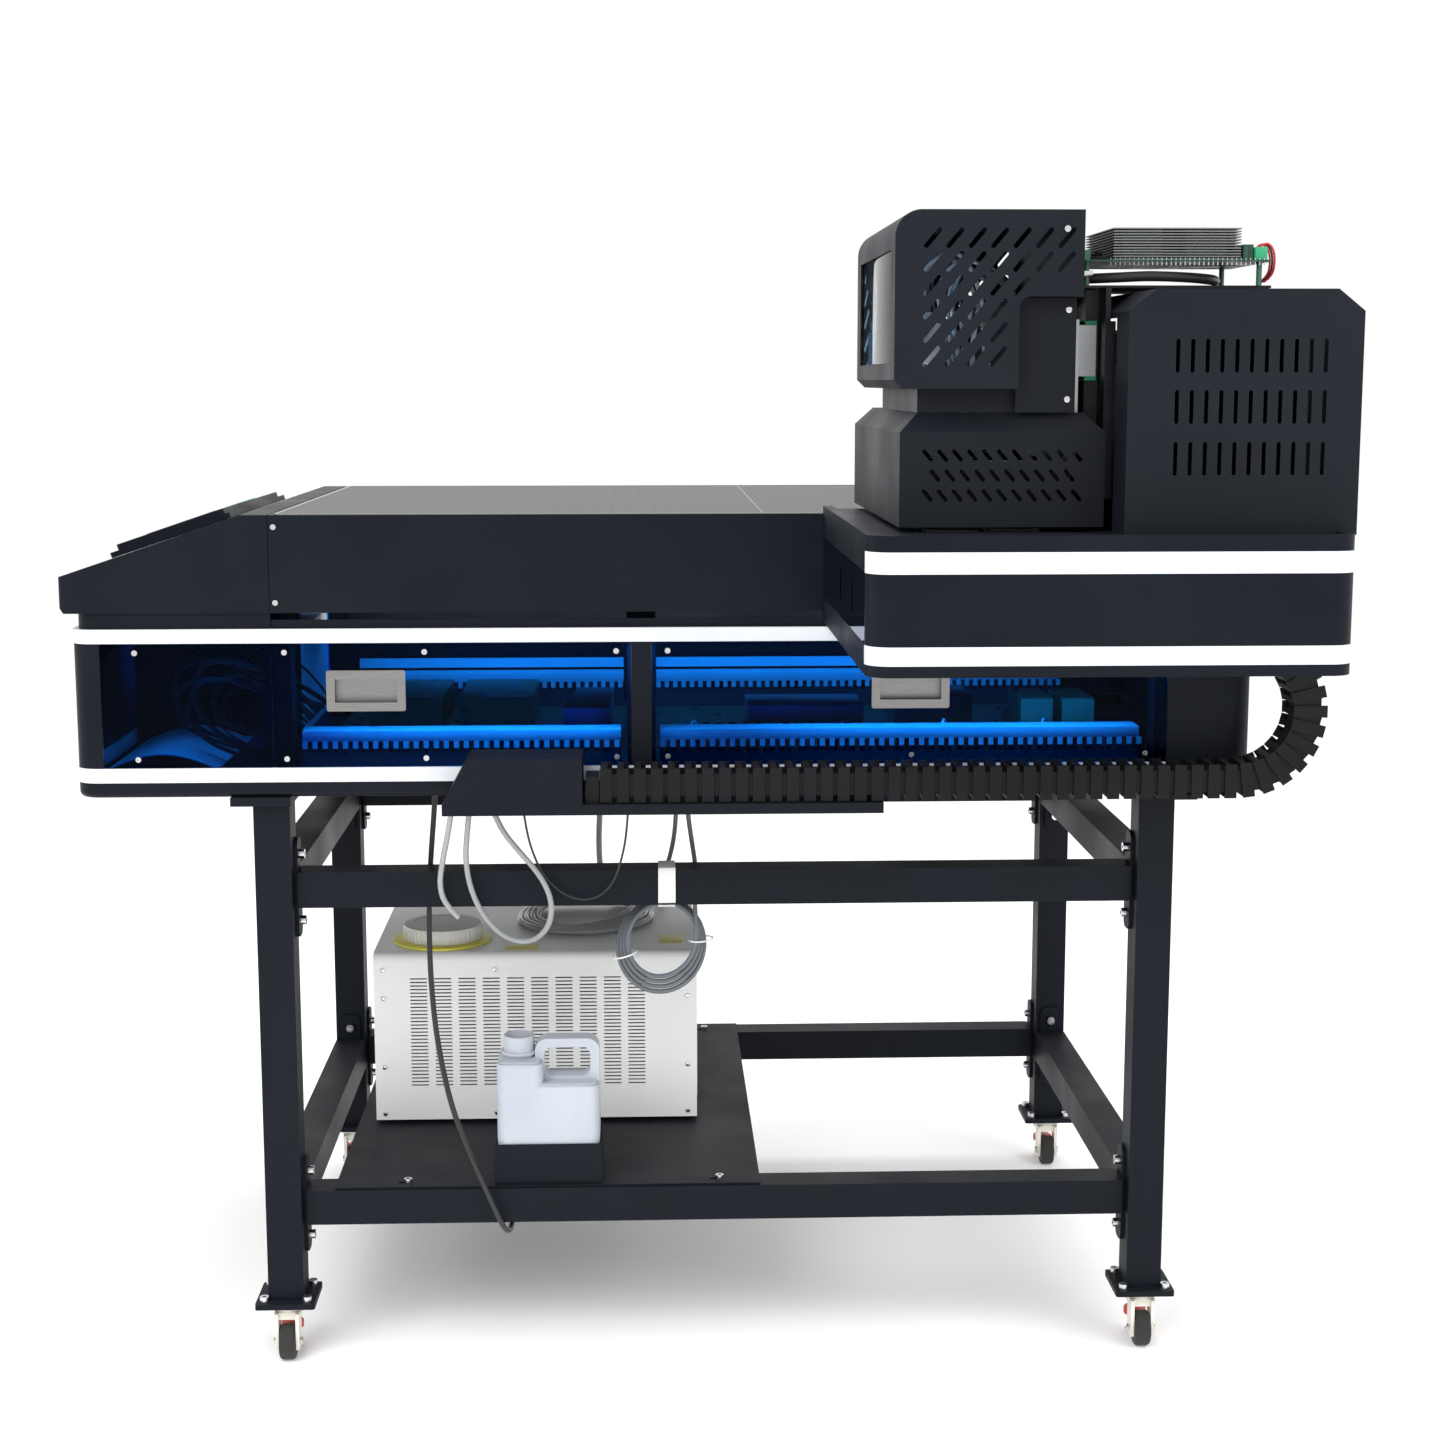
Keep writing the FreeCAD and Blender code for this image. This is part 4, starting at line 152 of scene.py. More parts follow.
def noise_node(tree: bpy.types.NodeTree, vector, scale, detail: float = 3.0):
    """Add a noise texture and return its factor socket."""
    node = tree.nodes.new("ShaderNodeTexNoise")
    tree.links.new(vector, node.inputs["Vector"])
    node.inputs["Detail"].default_value = detail
    if isinstance(scale, bpy.types.NodeSocket):
        tree.links.new(scale, node.inputs["Scale"])
    else:
        node.inputs["Scale"].default_value = scale
    return node.outputs["Fac"]


def object_coordinates(tree: bpy.types.NodeTree):
    """Add a coordinate node and return its Object socket."""
    return tree.nodes.new("ShaderNodeTexCoord").outputs["Object"]


class Effects:
    """Shader groups shared by the finishes, each built once."""

    def __init__(self) -> None:
        """Build every group."""
        self.peel = self._peel()
        self.dust = self._dust()
        self.brushed = self._brushed()
        self.holes = self._holes()

    @staticmethod
    def _peel() -> bpy.types.NodeTree:
        """Fine skin of a sprayed or moulded surface, with slow changes of tone."""
        tree = new_group("Sprayed skin", {"Grain": 900.0, "Patches": 6.0}, ["Height", "Tone"])
        at, inp, out = object_coordinates(tree), tree.nodes["IN"], tree.nodes["OUT"]
        fine = noise_node(tree, at, inp.outputs["Grain"], 2.0)
        slow = noise_node(tree, at, inp.outputs["Patches"], 4.0)
        tree.links.new(fine, out.inputs["Height"])
        tree.links.new(slow, out.inputs["Tone"])
        return tree

    @staticmethod
    def _dust() -> bpy.types.NodeTree:
        """Thin dust that settles on faces that look up."""
        tree = new_group("Settled dust", {"Amount": 0.3, "Scale": 14.0}, ["Mask"])
        inp, out = tree.nodes["IN"], tree.nodes["OUT"]
        split = tree.nodes.new("ShaderNodeSeparateXYZ")
        tree.links.new(tree.nodes.new("ShaderNodeNewGeometry").outputs["Normal"], split.inputs[0])
        up = math_node(tree, "MAXIMUM", split.outputs[2], 0.0)
        patchy = noise_node(tree, object_coordinates(tree), inp.outputs["Scale"], 6.0)
        mask = math_node(tree, "MULTIPLY", math_node(tree, "POWER", up, 3.0), patchy)
        tree.links.new(math_node(tree, "MULTIPLY", mask, inp.outputs["Amount"]), out.inputs["Mask"])
        return tree

    @staticmethod
    def _brushed() -> bpy.types.NodeTree:
        """Long fine scratches along the machine."""
        tree = new_group("Brushed grain", {"Scale": 60.0, "Stretch": 40.0}, ["Height", "Tone"])
        inp, out = tree.nodes["IN"], tree.nodes["OUT"]
        split = tree.nodes.new("ShaderNodeSeparateXYZ")
        tree.links.new(object_coordinates(tree), split.inputs[0])
        join = tree.nodes.new("ShaderNodeCombineXYZ")
        tree.links.new(split.outputs[0], join.inputs[0])
        for index in (1, 2):
            tree.links.new(math_node(tree, "MULTIPLY", split.outputs[index],
                                     inp.outputs["Stretch"]), join.inputs[index])
        grain = noise_node(tree, join.outputs[0], inp.outputs["Scale"], 5.0)
        tree.links.new(grain, out.inputs["Height"])
        tree.links.new(grain, out.inputs["Tone"])
        return tree

    @staticmethod
    def _holes() -> bpy.types.NodeTree:
        """Square grid of small round holes seen from above."""
        tree = new_group("Hole grid", {"Per metre": 40.0, "Radius": 0.06}, ["Mask"])
        inp, out = tree.nodes["IN"], tree.nodes["OUT"]
        split = tree.nodes.new("ShaderNodeSeparateXYZ")
        tree.links.new(object_coordinates(tree), split.inputs[0])
        squares = []
        for index in (0, 1):
            cell = math_node(tree, "FRACT", math_node(tree, "MULTIPLY", split.outputs[index],
                                                      inp.outputs["Per metre"]))
            squares.append(math_node(tree, "POWER", math_node(tree, "SUBTRACT", cell, 0.5), 2.0))
        reach = math_node(tree, "SQRT", math_node(tree, "ADD", *squares))
        tree.links.new(math_node(tree, "LESS_THAN", reach, inp.outputs["Radius"]),
                       out.inputs["Mask"])
        return tree


EFFECTS = Effects()
Colour = tuple[float, float, float]


def add_group(tree: bpy.types.NodeTree, group: bpy.types.NodeTree, **values: float):
    """Place a shader group in a material with its own values."""
    node = tree.nodes.new("ShaderNodeGroup")
    node.node_tree = group
    for socket, value in values.items():
        node.inputs[socket.replace("_", " ")].default_value = value
    return node


def blend_colours(tree: bpy.types.NodeTree, mask, first, second):
    """Mix two colours, each a tuple or a socket, by a mask.

    Args:
        tree: The material's tree.
        mask: Socket that says how much of the second colour shows.
        first: Colour where the mask is 0.
        second: Colour where the mask is 1.

    Returns:
        The mixed colour's socket.
    """
    node = tree.nodes.new("ShaderNodeMix")
    node.data_type = "RGBA"
    tree.links.new(mask, node.inputs["Factor"])
    for index, value in ((6, first), (7, second)):
        if isinstance(value, bpy.types.NodeSocket):
            tree.links.new(value, node.inputs[index])
        else:
            node.inputs[index].default_value = (*value, 1.0)
    return node.outputs[2]


def ranged(tree: bpy.types.NodeTree, source, low: float, high: float):
    """Map a 0.3 to 0.7 noise onto a range."""
    node = tree.nodes.new("ShaderNodeMapRange")
    tree.links.new(source, node.inputs["Value"])
    for socket, value in (("From Min", 0.3), ("From Max", 0.7), ("To Min", low), ("To Max", high)):
        node.inputs[socket].default_value = value
    return node.outputs["Result"]


def bumped(tree: bpy.types.NodeTree, shader, height, depth: float, strength: float = 1.0) -> None:
    """Feed a height through a Bump node into a shader's normal."""
    bump = tree.nodes.new("ShaderNodeBump")
    bump.inputs["Distance"].default_value = depth
    bump.inputs["Strength"].default_value = strength
    tree.links.new(height, bump.inputs["Height"])
    tree.links.new(bump.outputs["Normal"], shader.inputs["Normal"])


def started_material(name: str) -> tuple[bpy.types.Material, bpy.types.NodeTree, bpy.types.Node]:
    """Make a node material and return it with its tree and Principled shader."""
    material = bpy.data.materials.new(name)
    material.use_nodes = True
    tree = material.node_tree
    return material, tree, tree.nodes["Principled BSDF"]


@dataclass(frozen=True)
class SprayedFinish:
    """Powder coat, paint or moulded plastic."""

    name: str
    colour: Colour
    second: Colour
    rough_low: float = 0.38
    rough_high: float = 0.52
    grain: float = 900.0
    depth: float = 0.00006
    dust: float = 0.12
    dust_colour: Colour = (0.45, 0.44, 0.42)
    coat: float = 0.0
    subsurface: float = 0.0
    specular: float = 0.5

    def build(self) -> bpy.types.Material:
        """Build the material."""
        material, tree, shader = started_material(self.name)
        skin = add_group(tree, EFFECTS.peel, Grain=self.grain)
        dust = add_group(tree, EFFECTS.dust, Amount=self.dust)
        tone = ranged(tree, skin.outputs["Tone"], 0.0, 1.0)
        base = blend_colours(tree, tone, self.colour, self.second)
        base = blend_colours(tree, dust.outputs["Mask"], base, self.dust_colour)
        tree.links.new(base, shader.inputs["Base Color"])
        tree.links.new(ranged(tree, skin.outputs["Tone"], self.rough_low, self.rough_high),
                       shader.inputs["Roughness"])
        shader.inputs["Coat Weight"].default_value = self.coat
        shader.inputs["Coat Roughness"].default_value = 0.15
        shader.inputs["Specular IOR Level"].default_value = self.specular
        shader.inputs["Subsurface Weight"].default_value = self.subsurface
        shader.inputs["Subsurface Scale"].default_value = 0.004
        bumped(tree, shader, skin.outputs["Height"], self.depth)
        return material


@dataclass(frozen=True)
class MetalFinish:
    """Bare or plated metal with a brushed grain."""

    name: str
    colour: Colour
    second: Colour
    rough_low: float = 0.22
    rough_high: float = 0.4
    scale: float = 60.0
    depth: float = 0.00004
    holes: float = 0.0

    def build(self) -> bpy.types.Material:
        """Build the material."""
        material, tree, shader = started_material(self.name)
        grain = add_group(tree, EFFECTS.brushed, Scale=self.scale)
        tone = ranged(tree, grain.outputs["Tone"], 0.0, 1.0)
        base = blend_colours(tree, tone, self.colour, self.second)
        height = grain.outputs["Height"]
        if self.holes:
            grid = add_group(tree, EFFECTS.holes, Per_metre=self.holes)
            # Painted shade: the holes' dark insides are painted near black into the base colour.
            base = blend_colours(tree, grid.outputs["Mask"], base, (0.01, 0.01, 0.01))
            height = math_node(tree, "SUBTRACT", height,
                               math_node(tree, "MULTIPLY", grid.outputs["Mask"], 8.0))
        tree.links.new(base, shader.inputs["Base Color"])
        tree.links.new(ranged(tree, grain.outputs["Tone"], self.rough_low, self.rough_high),
                       shader.inputs["Roughness"])
        shader.inputs["Metallic"].default_value = 1.0
        bumped(tree, shader, height, self.depth)
        return material


@dataclass(frozen=True)
class ClearFinish:
    """Tinted or clear sheet."""

    name: str
    colour: Colour
    smudge: Colour
    rough_low: float = 0.01
    rough_high: float = 0.05
    ior: float = 1.49

    def build(self) -> bpy.types.Material:
        """Build the material."""
        material, tree, shader = started_material(self.name)
        skin = add_group(tree, EFFECTS.peel, Grain=40.0, Patches=9.0)
        tone = ranged(tree, skin.outputs["Tone"], 0.0, 1.0)
        tree.links.new(blend_colours(tree, tone, self.colour, self.smudge),
                       shader.inputs["Base Color"])
        tree.links.new(ranged(tree, skin.outputs["Height"], self.rough_low, self.rough_high),
                       shader.inputs["Roughness"])
        shader.inputs["Transmission Weight"].default_value = 1.0
        shader.inputs["IOR"].default_value = self.ior
        return material


@dataclass(frozen=True)
class BoardFinish:
    """Circuit board: solder mask with copper runs and pads."""

    name: str
    mask: Colour
    trace: Colour
    pad: Colour

    def build(self) -> bpy.types.Material:
        """Build the material."""
        material, tree, shader = started_material(self.name)
        at = object_coordinates(tree)
        brick = tree.nodes.new("ShaderNodeTexBrick")
        tree.links.new(at, brick.inputs["Vector"])
        brick.inputs["Scale"].default_value = 90.0
        brick.inputs["Mortar Size"].default_value = 0.03
        brick.inputs["Color1"].default_value = (*self.mask, 1.0)
        brick.inputs["Color2"].default_value = (*[c * 0.8 for c in self.mask], 1.0)
        brick.inputs["Mortar"].default_value = (*self.trace, 1.0)
        grid = add_group(tree, EFFECTS.holes, Per_metre=180.0, Radius=0.16)
        patch = noise_node(tree, at, 30.0, 1.0)
        shown = math_node(tree, "MULTIPLY", grid.outputs["Mask"],
                          math_node(tree, "GREATER_THAN", patch, 0.56))
        base = blend_colours(tree, shown, brick.outputs["Color"], self.pad)
        tree.links.new(base, shader.inputs["Base Color"])
        tree.links.new(ranged(tree, patch, 0.25, 0.45), shader.inputs["Roughness"])
        bumped(tree, shader, brick.outputs["Fac"], 0.0001, 0.4)
        return material


@dataclass(frozen=True)
class LevellerFinish:
    """Levelling foot: coloured thumbwheel on a dark pad and a plated stem."""

    name: str
    wheel: Colour
    rubber: Colour
    steel: Colour
    pad_top: float = 0.015
    wheel_low: float = 0.029
    wheel_high: float = 0.040

    def build(self) -> bpy.types.Material:
        """Build the material."""
        material, tree, shader = started_material(self.name)
        split = tree.nodes.new("ShaderNodeSeparateXYZ")
        tree.links.new(object_coordinates(tree), split.inputs[0])
        height = split.outputs[2]
        in_wheel = math_node(tree, "MULTIPLY",
                             math_node(tree, "GREATER_THAN", height, self.wheel_low),
                             math_node(tree, "LESS_THAN", height, self.wheel_high))
        in_pad = math_node(tree, "LESS_THAN", height, self.pad_top)
        base = blend_colours(tree, in_wheel, self.steel, self.wheel)
        base = blend_colours(tree, in_pad, base, self.rubber)
        tree.links.new(base, shader.inputs["Base Color"])
        skin = add_group(tree, EFFECTS.peel, Grain=500.0)
        tree.links.new(ranged(tree, skin.outputs["Tone"], 0.3, 0.5), shader.inputs["Roughness"])
        bumped(tree, shader, skin.outputs["Height"], 0.00005)
        return material


class Finishes:
    """Every finish on the machine, built once and looked up by name."""

    LIST = (
        SprayedFinish("frame_black", (0.0045, 0.006, 0.0095), (0.0065, 0.0085, 0.013), 0.42, 0.58,
                      700.0, 0.00012, 0.02, specular=0.12),
        SprayedFinish("casing_black", (0.004, 0.0055, 0.009), (0.006, 0.008, 0.012), 0.36, 0.5,
                      1100.0, 0.00007, 0.02, specular=0.12),
        SprayedFinish("cover_black", (0.006, 0.0075, 0.011), (0.0085, 0.010, 0.014), 0.40, 0.55,
                      1200.0, 0.00008, 0.02, specular=0.14),
        SprayedFinish("chiller_white", (0.80, 0.81, 0.81), (0.84, 0.84, 0.84), 0.32, 0.45, 600.0,
                      0.00006, 0.1, (0.5, 0.49, 0.46)),
        SprayedFinish("light_strip", (0.64, 0.66, 0.69), (0.57, 0.60, 0.64), 0.35, 0.5, 300.0,
                      0.0004, 0.05, subsurface=0.2),
        SprayedFinish("moulded_black", (0.006, 0.006, 0.007), (0.010, 0.010, 0.012), 0.4, 0.6,
                      800.0, 0.0001, 0.02, specular=0.14),
        SprayedFinish("tyre_black", (0.010, 0.010, 0.011), (0.024, 0.024, 0.024), 0.55, 0.75,
                      500.0, 0.00015),
        SprayedFinish("caster_cream", (0.76, 0.73, 0.65), (0.70, 0.67, 0.58), 0.25, 0.4, 400.0,
                      0.00005, coat=0.3),
        SprayedFinish("cap_white", (0.66, 0.65, 0.62), (0.60, 0.59, 0.56), 0.35, 0.5, 400.0,
                      0.00006, subsurface=0.1),
        SprayedFinish("flange_yellow", (0.78, 0.72, 0.06), (0.72, 0.65, 0.05), 0.3, 0.45, 500.0,
                      0.00005),
        SprayedFinish("jug_natural", (0.46, 0.49, 0.54), (0.40, 0.43, 0.48), 0.35, 0.5, 200.0,
                      0.0002, 0.05, subsurface=0.3),
        SprayedFinish("hose_natural", (0.30, 0.31, 0.31), (0.23, 0.24, 0.25), 0.15, 0.3, 200.0,
                      0.0001, 0.05, coat=0.4, subsurface=0.2),
        SprayedFinish("cable_grey", (0.095, 0.105, 0.12), (0.125, 0.14, 0.155), 0.4, 0.55, 500.0,
                      0.00006),
        SprayedFinish("cable_black", (0.010, 0.010, 0.011), (0.018, 0.018, 0.019), 0.3, 0.45,
                      500.0, 0.00006),
        SprayedFinish("wire_red", (0.55, 0.02, 0.02), (0.45, 0.02, 0.02), 0.3, 0.45, 500.0),
        SprayedFinish("connector_green", (0.03, 0.32, 0.16), (0.02, 0.26, 0.12), 0.3, 0.45,
                      500.0),
        SprayedFinish("strap_white", (0.78, 0.78, 0.76), (0.70, 0.70, 0.68), 0.6, 0.8, 1500.0,
                      0.0002),
        SprayedFinish("duct_light", (0.70, 0.74, 0.78), (0.62, 0.66, 0.70), 0.4, 0.55, 500.0),
        # Painted shade: the wiring ducts are coloured near-black blue to stand in for the shade
        # inside the body.
        SprayedFinish("duct_painted_shade", (0.030, 0.045, 0.060), (0.022, 0.034, 0.046), 0.4, 0.55, 500.0),
        SprayedFinish("ribbon_white", (0.72, 0.76, 0.82), (0.60, 0.66, 0.76), 0.3, 0.5, 900.0),
        SprayedFinish("screen_dark", (0.006, 0.008, 0.012), (0.010, 0.012, 0.016), 0.06, 0.12,
                      80.0, 0.00002, coat=1.0),
        MetalFinish("brushed_steel", (0.22, 0.217, 0.21), (0.31, 0.307, 0.30), 0.3, 0.42),
        MetalFinish("plated_bolt", (0.60, 0.60, 0.61), (0.72, 0.72, 0.73), 0.15, 0.28, 200.0),
        MetalFinish("anodised_grey", (0.42, 0.43, 0.44), (0.52, 0.53, 0.54), 0.3, 0.45),
        MetalFinish("anodised_dark", (0.03, 0.03, 0.034), (0.05, 0.05, 0.055), 0.35, 0.5),
        MetalFinish("table_grey", (0.150, 0.144, 0.136), (0.200, 0.192, 0.182), 0.42, 0.55, 90.0,
                    0.00005, 50.0),
        MetalFinish("sink_silver", (0.27, 0.28, 0.29), (0.34, 0.35, 0.36), 0.45, 0.55,
                    depth=0.00001),
        ClearFinish("acrylic_blue", (0.002, 0.152, 0.64), (0.002, 0.136, 0.58), ior=1.12),
        ClearFinish("window_clear", (0.42, 0.66, 0.88), (0.38, 0.60, 0.84), ior=1.2),
        BoardFinish("circuit_board", (0.012, 0.05, 0.035), (0.03, 0.12, 0.07),
                    (0.55, 0.42, 0.15)),
        LevellerFinish("leveller", (0.55, 0.02, 0.02), (0.012, 0.012, 0.012),
                       (0.35, 0.35, 0.36)),
    )

    def __init__(self) -> None:
        """Build every material."""
        self._made = {finish.name: finish.build() for finish in self.LIST}

    def __getitem__(self, name: str) -> bpy.types.Material:
        """Look up a material by its finish's name."""
        return self._made[name]


FINISHES = Finishes()


# ---------------------------------------------------------------- building pieces
class Workpiece:
    """One mesh in machine millimetres that becomes a finished piece."""

    def __init__(self, name: str) -> None:
        """Start an empty piece."""
        self.name = name
        self.mesh = bmesh.new()

    def _take(self, part: bmesh.types.BMesh) -> None:
        """Add a separate bmesh to the piece and free it."""
        spare = bpy.data.meshes.new("spare")
        part.to_mesh(spare)
        part.free()
        self.mesh.from_mesh(spare)
        bpy.data.meshes.remove(spare)

    def block(self, low: tuple, high: tuple, bevel: float = 0.0,
              turn: Matrix | None = None) -> "Workpiece":
        """Add a box with rounded edges.

        Args:
            low: Lowest corner.
            high: Highest corner.
            bevel: Radius of its edges.
            turn: Rotation about the box's centre.

        Returns:
            The piece itself.
        """
        part = bmesh.new()
        bmesh.ops.create_cube(part, size=1.0)
        size = Vector(high) - Vector(low)
        bmesh.ops.scale(part, vec=size, verts=part.verts)
        if bevel:
            bmesh.ops.bevel(part, geom=part.edges[:], offset=bevel, offset_type="OFFSET",
                            affect="EDGES", segments=2, profile=0.5, material=-1)
        if turn is not None:
            bmesh.ops.transform(part, matrix=turn.to_4x4(), verts=part.verts)
        bmesh.ops.translate(part, vec=(Vector(low) + Vector(high)) / 2, verts=part.verts)
        self._take(part)
        return self

    def rod(self, start: tuple, axis: Axis | Vector, radius: float, length: float,
            segments: int = 24, bevel: float = 0.0) -> "Workpiece":
        """Add a round bar.

        Args:
            start: Centre of its first end.
            axis: Direction it runs in.
            radius: Its radius.
            length: Length along the axis.
            segments: Faces round it.
            bevel: Radius of the edges at both ends.

        Returns:
            The piece itself.
        """
        direction = Vector(axis.value) if isinstance(axis, Axis) else axis.normalized()
        part = bmesh.new()
        bmesh.ops.create_cone(part, cap_ends=True, segments=segments, radius1=radius,
                              radius2=radius, depth=length)
        if bevel:
            rims = [e for e in part.edges if any(len(f.verts) > 4 for f in e.link_faces)]
            bmesh.ops.bevel(part, geom=rims, offset=bevel, offset_type="OFFSET",
                            affect="EDGES", segments=2, profile=0.5, material=-1)
        turn = direction.to_track_quat("Z", "Y").to_matrix().to_4x4()
        bmesh.ops.transform(part, matrix=turn, verts=part.verts)
        bmesh.ops.translate(part, vec=Vector(start) + direction * length / 2, verts=part.verts)
        self._take(part)
        return self

    def ring(self, centre: tuple, axis: Axis | Vector, outer: float, inner: float, width: float,
             segments: int = 40) -> "Workpiece":
        """Add a flat band round an axis, with a square section.

        Args:
            centre: Centre of the band's first side.
            axis: Axis that it goes round.
            outer: Outer radius.
            inner: Inner radius.
            width: Width along the axis.
            segments: Faces round it.

        Returns:
            The piece itself.
        """
        direction = Vector(axis.value) if isinstance(axis, Axis) else axis.normalized()
        part = bmesh.new()
        corners = [part.verts.new(p) for p in ((inner, 0, 0), (outer, 0, 0), (outer, 0, width),
                                               (inner, 0, width))]
        sides = [part.edges.new((a, b)) for a, b in zip(corners, corners[1:] + corners[:1])]
        bmesh.ops.spin(part, geom=corners + sides, cent=(0, 0, 0), axis=(0, 0, 1),
                       angle=math.tau, steps=segments, use_merge=True)
        bmesh.ops.remove_doubles(part, verts=part.verts, dist=0.001)
        bmesh.ops.recalc_face_normals(part, faces=part.faces)
        turn = direction.to_track_quat("Z", "Y").to_matrix().to_4x4()
        bmesh.ops.transform(part, matrix=turn, verts=part.verts)
        bmesh.ops.translate(part, vec=Vector(centre), verts=part.verts)
        self._take(part)
        return self

    def ribbon(self, points: list[tuple], across: tuple, thickness: float = 0.6) -> "Workpiece":
        """Add a flat strip that follows points.

        Args:
            points: Points along one edge of the strip.
            across: Step from that edge to the other.
            thickness: Thickness of the strip.

        Returns:
            The piece itself.
        """
        part = bmesh.new()
        edge = [part.verts.new(p) for p in points]
        lines = [part.edges.new(pair) for pair in zip(edge, edge[1:])]
        made = bmesh.ops.extrude_edge_only(part, edges=lines)["geom"]
        moved = [g for g in made if isinstance(g, bmesh.types.BMVert)]
        bmesh.ops.translate(part, vec=Vector(across), verts=moved)
        bmesh.ops.recalc_face_normals(part, faces=part.faces)
        bmesh.ops.solidify(part, geom=part.faces[:], thickness=thickness)
        bmesh.ops.recalc_face_normals(part, faces=part.faces)
        self._take(part)
        return self

    def finish(self, material: str, body: Part, smooth: bool = True) -> bpy.types.Object:
        """Turn the piece into an object that rides on a body.

        Args:
            material: Name of its finish.
            body: The CAD body it moves with.
            smooth: Whether shallow edges are shaded smooth.

        Returns:
            The finished object.
        """
        bmesh.ops.translate(self.mesh, vec=-DATUM, verts=self.mesh.verts)
        bmesh.ops.scale(self.mesh, vec=(MM, MM, MM), verts=self.mesh.verts)
        data = bpy.data.meshes.new(self.name)
        self.mesh.to_mesh(data)
        self.mesh.free()
        if smooth:
            data.shade_smooth()
            data.set_sharp_from_angle(angle=math.radians(35))
        data.materials.append(FINISHES[material])
        piece = bpy.data.objects.new(self.name, data)
        bpy.context.scene.collection.objects.link(piece)
        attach(piece, body.value)
        LOG.info("%s rides on %s", self.name, body.value)
        return piece


def flexible_line(name: str, points: list[tuple], radius: float, material: str, body: Part,
                  resolution: int = 6) -> bpy.types.Object:
    """Make a cord or wire whose line is a smooth curve through a route.

    Args:
        name: Name of the piece.
        points: Route in machine millimetres.
        radius: Radius in millimetres.
        material: Name of its finish.
        body: The CAD body it moves with.
        resolution: Steps between control points.

    Returns:
        The curve object.
    """
    curve = bpy.data.curves.new(name, "CURVE")
    curve.dimensions = "3D"
    curve.resolution_u = resolution
    curve.bevel_depth = radius * MM
    curve.bevel_resolution = 3
    curve.use_fill_caps = True
    spline = curve.splines.new("NURBS")
    spline.points.add(len(points) - 1)
    for point, at in zip(spline.points, points):
        point.co = (*placed(*at), 1.0)
    spline.order_u = 3
    spline.use_endpoint_u = True
    curve.materials.append(FINISHES[material])
    line = bpy.data.objects.new(name, curve)
    bpy.context.scene.collection.objects.link(line)
    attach(line, body.value)
    LOG.info("%s rides on %s", name, body.value)
    return line


def spline_length(line: bpy.types.Object) -> float:
    """Length of a curve's own line, in metres."""
    bare = line.data.copy()
    bare.bevel_depth = 0.0
    probe = bpy.data.objects.new("probe", bare)
    mesh = bpy.data.meshes.new_from_object(probe)
    total = sum((mesh.vertices[e.vertices[0]].co - mesh.vertices[e.vertices[1]].co).length
                for e in mesh.edges)
    bpy.data.meshes.remove(mesh)
    bpy.data.objects.remove(probe)
    bpy.data.curves.remove(bare)
    return total


# ---------------------------------------------------------------- CAD nodes' finishes
@dataclass
class FrameDressing:
    """Finishes of the CAD nodes that stay as they are."""

    finish_of: dict[str, tuple[str, ...]] = field(default_factory=lambda: {
        "frame_black": ("stand_legs", "stand_rails", "rail_brackets", "shelf_plate",
                        "chain_tray", "chain_end_cover", "body_frame"),
        "casing_black": ("base_pan", "front_casing", "side_panels", "rear_casing", "end_box",
                         "far_end_box", "control_panel"),
        "cover_black": ("beam_cover", "head_cover_lower", "head_cover_upper"),
        "plated_bolt": ("fasteners",),
        "chiller_white": ("chiller_body",),
        "jug_natural": ("jug",),
        "light_strip": ("led_strips", "gantry_led_strips"),
        "acrylic_blue": ("acrylic_panels", "end_box_window"),
        "brushed_steel": ("door_handles", "drive_screw", "lift_screw", "gantry_rails",
                          "capping_station"),
        "table_grey": ("table_plate",),
        "circuit_board": ("electronics_bay", "head_board"),
        # painted shade: the wiring ducts get the near-black blue finish that stands in for shade
        # inside the body
        "duct_painted_shade": ("wiring_ducts",),
        "moulded_black": ("drive_motor", "print_heads", "chain_loop", "chain_lower_run",
                          "chain_upper_run"),
        "anodised_dark": ("gantry_arms", "gantry_beam", "carriage_plate"),
        "anodised_grey": ("head_plate",),
        "sink_silver": ("heat_sink",),
        "cap_white": ("chiller_cap",),
        "hose_natural": ("hose_coil", "hanging_lines"),
        "cable_grey": ("cable_coil",),
        "cable_black": ("black_lead",),
        "caster_cream": tuple(f"caster_fork_{i}" for i in range(1, 5)),
        "tyre_black": tuple(f"caster_wheel_{i}" for i in range(1, 5)),
        "leveller": tuple(f"levelling_foot_{i}" for i in range(1, 5)),
    })

    def dress(self) -> None:
        """Put each node's finish on it."""
        for finish, nodes in self.finish_of.items():
            for node in nodes:
                data = frame["nodes"][node].data
                data.materials.clear()
                data.materials.append(FINISHES[finish])
        LOG.info("%d CAD nodes dressed", sum(len(n) for n in self.finish_of.values()))


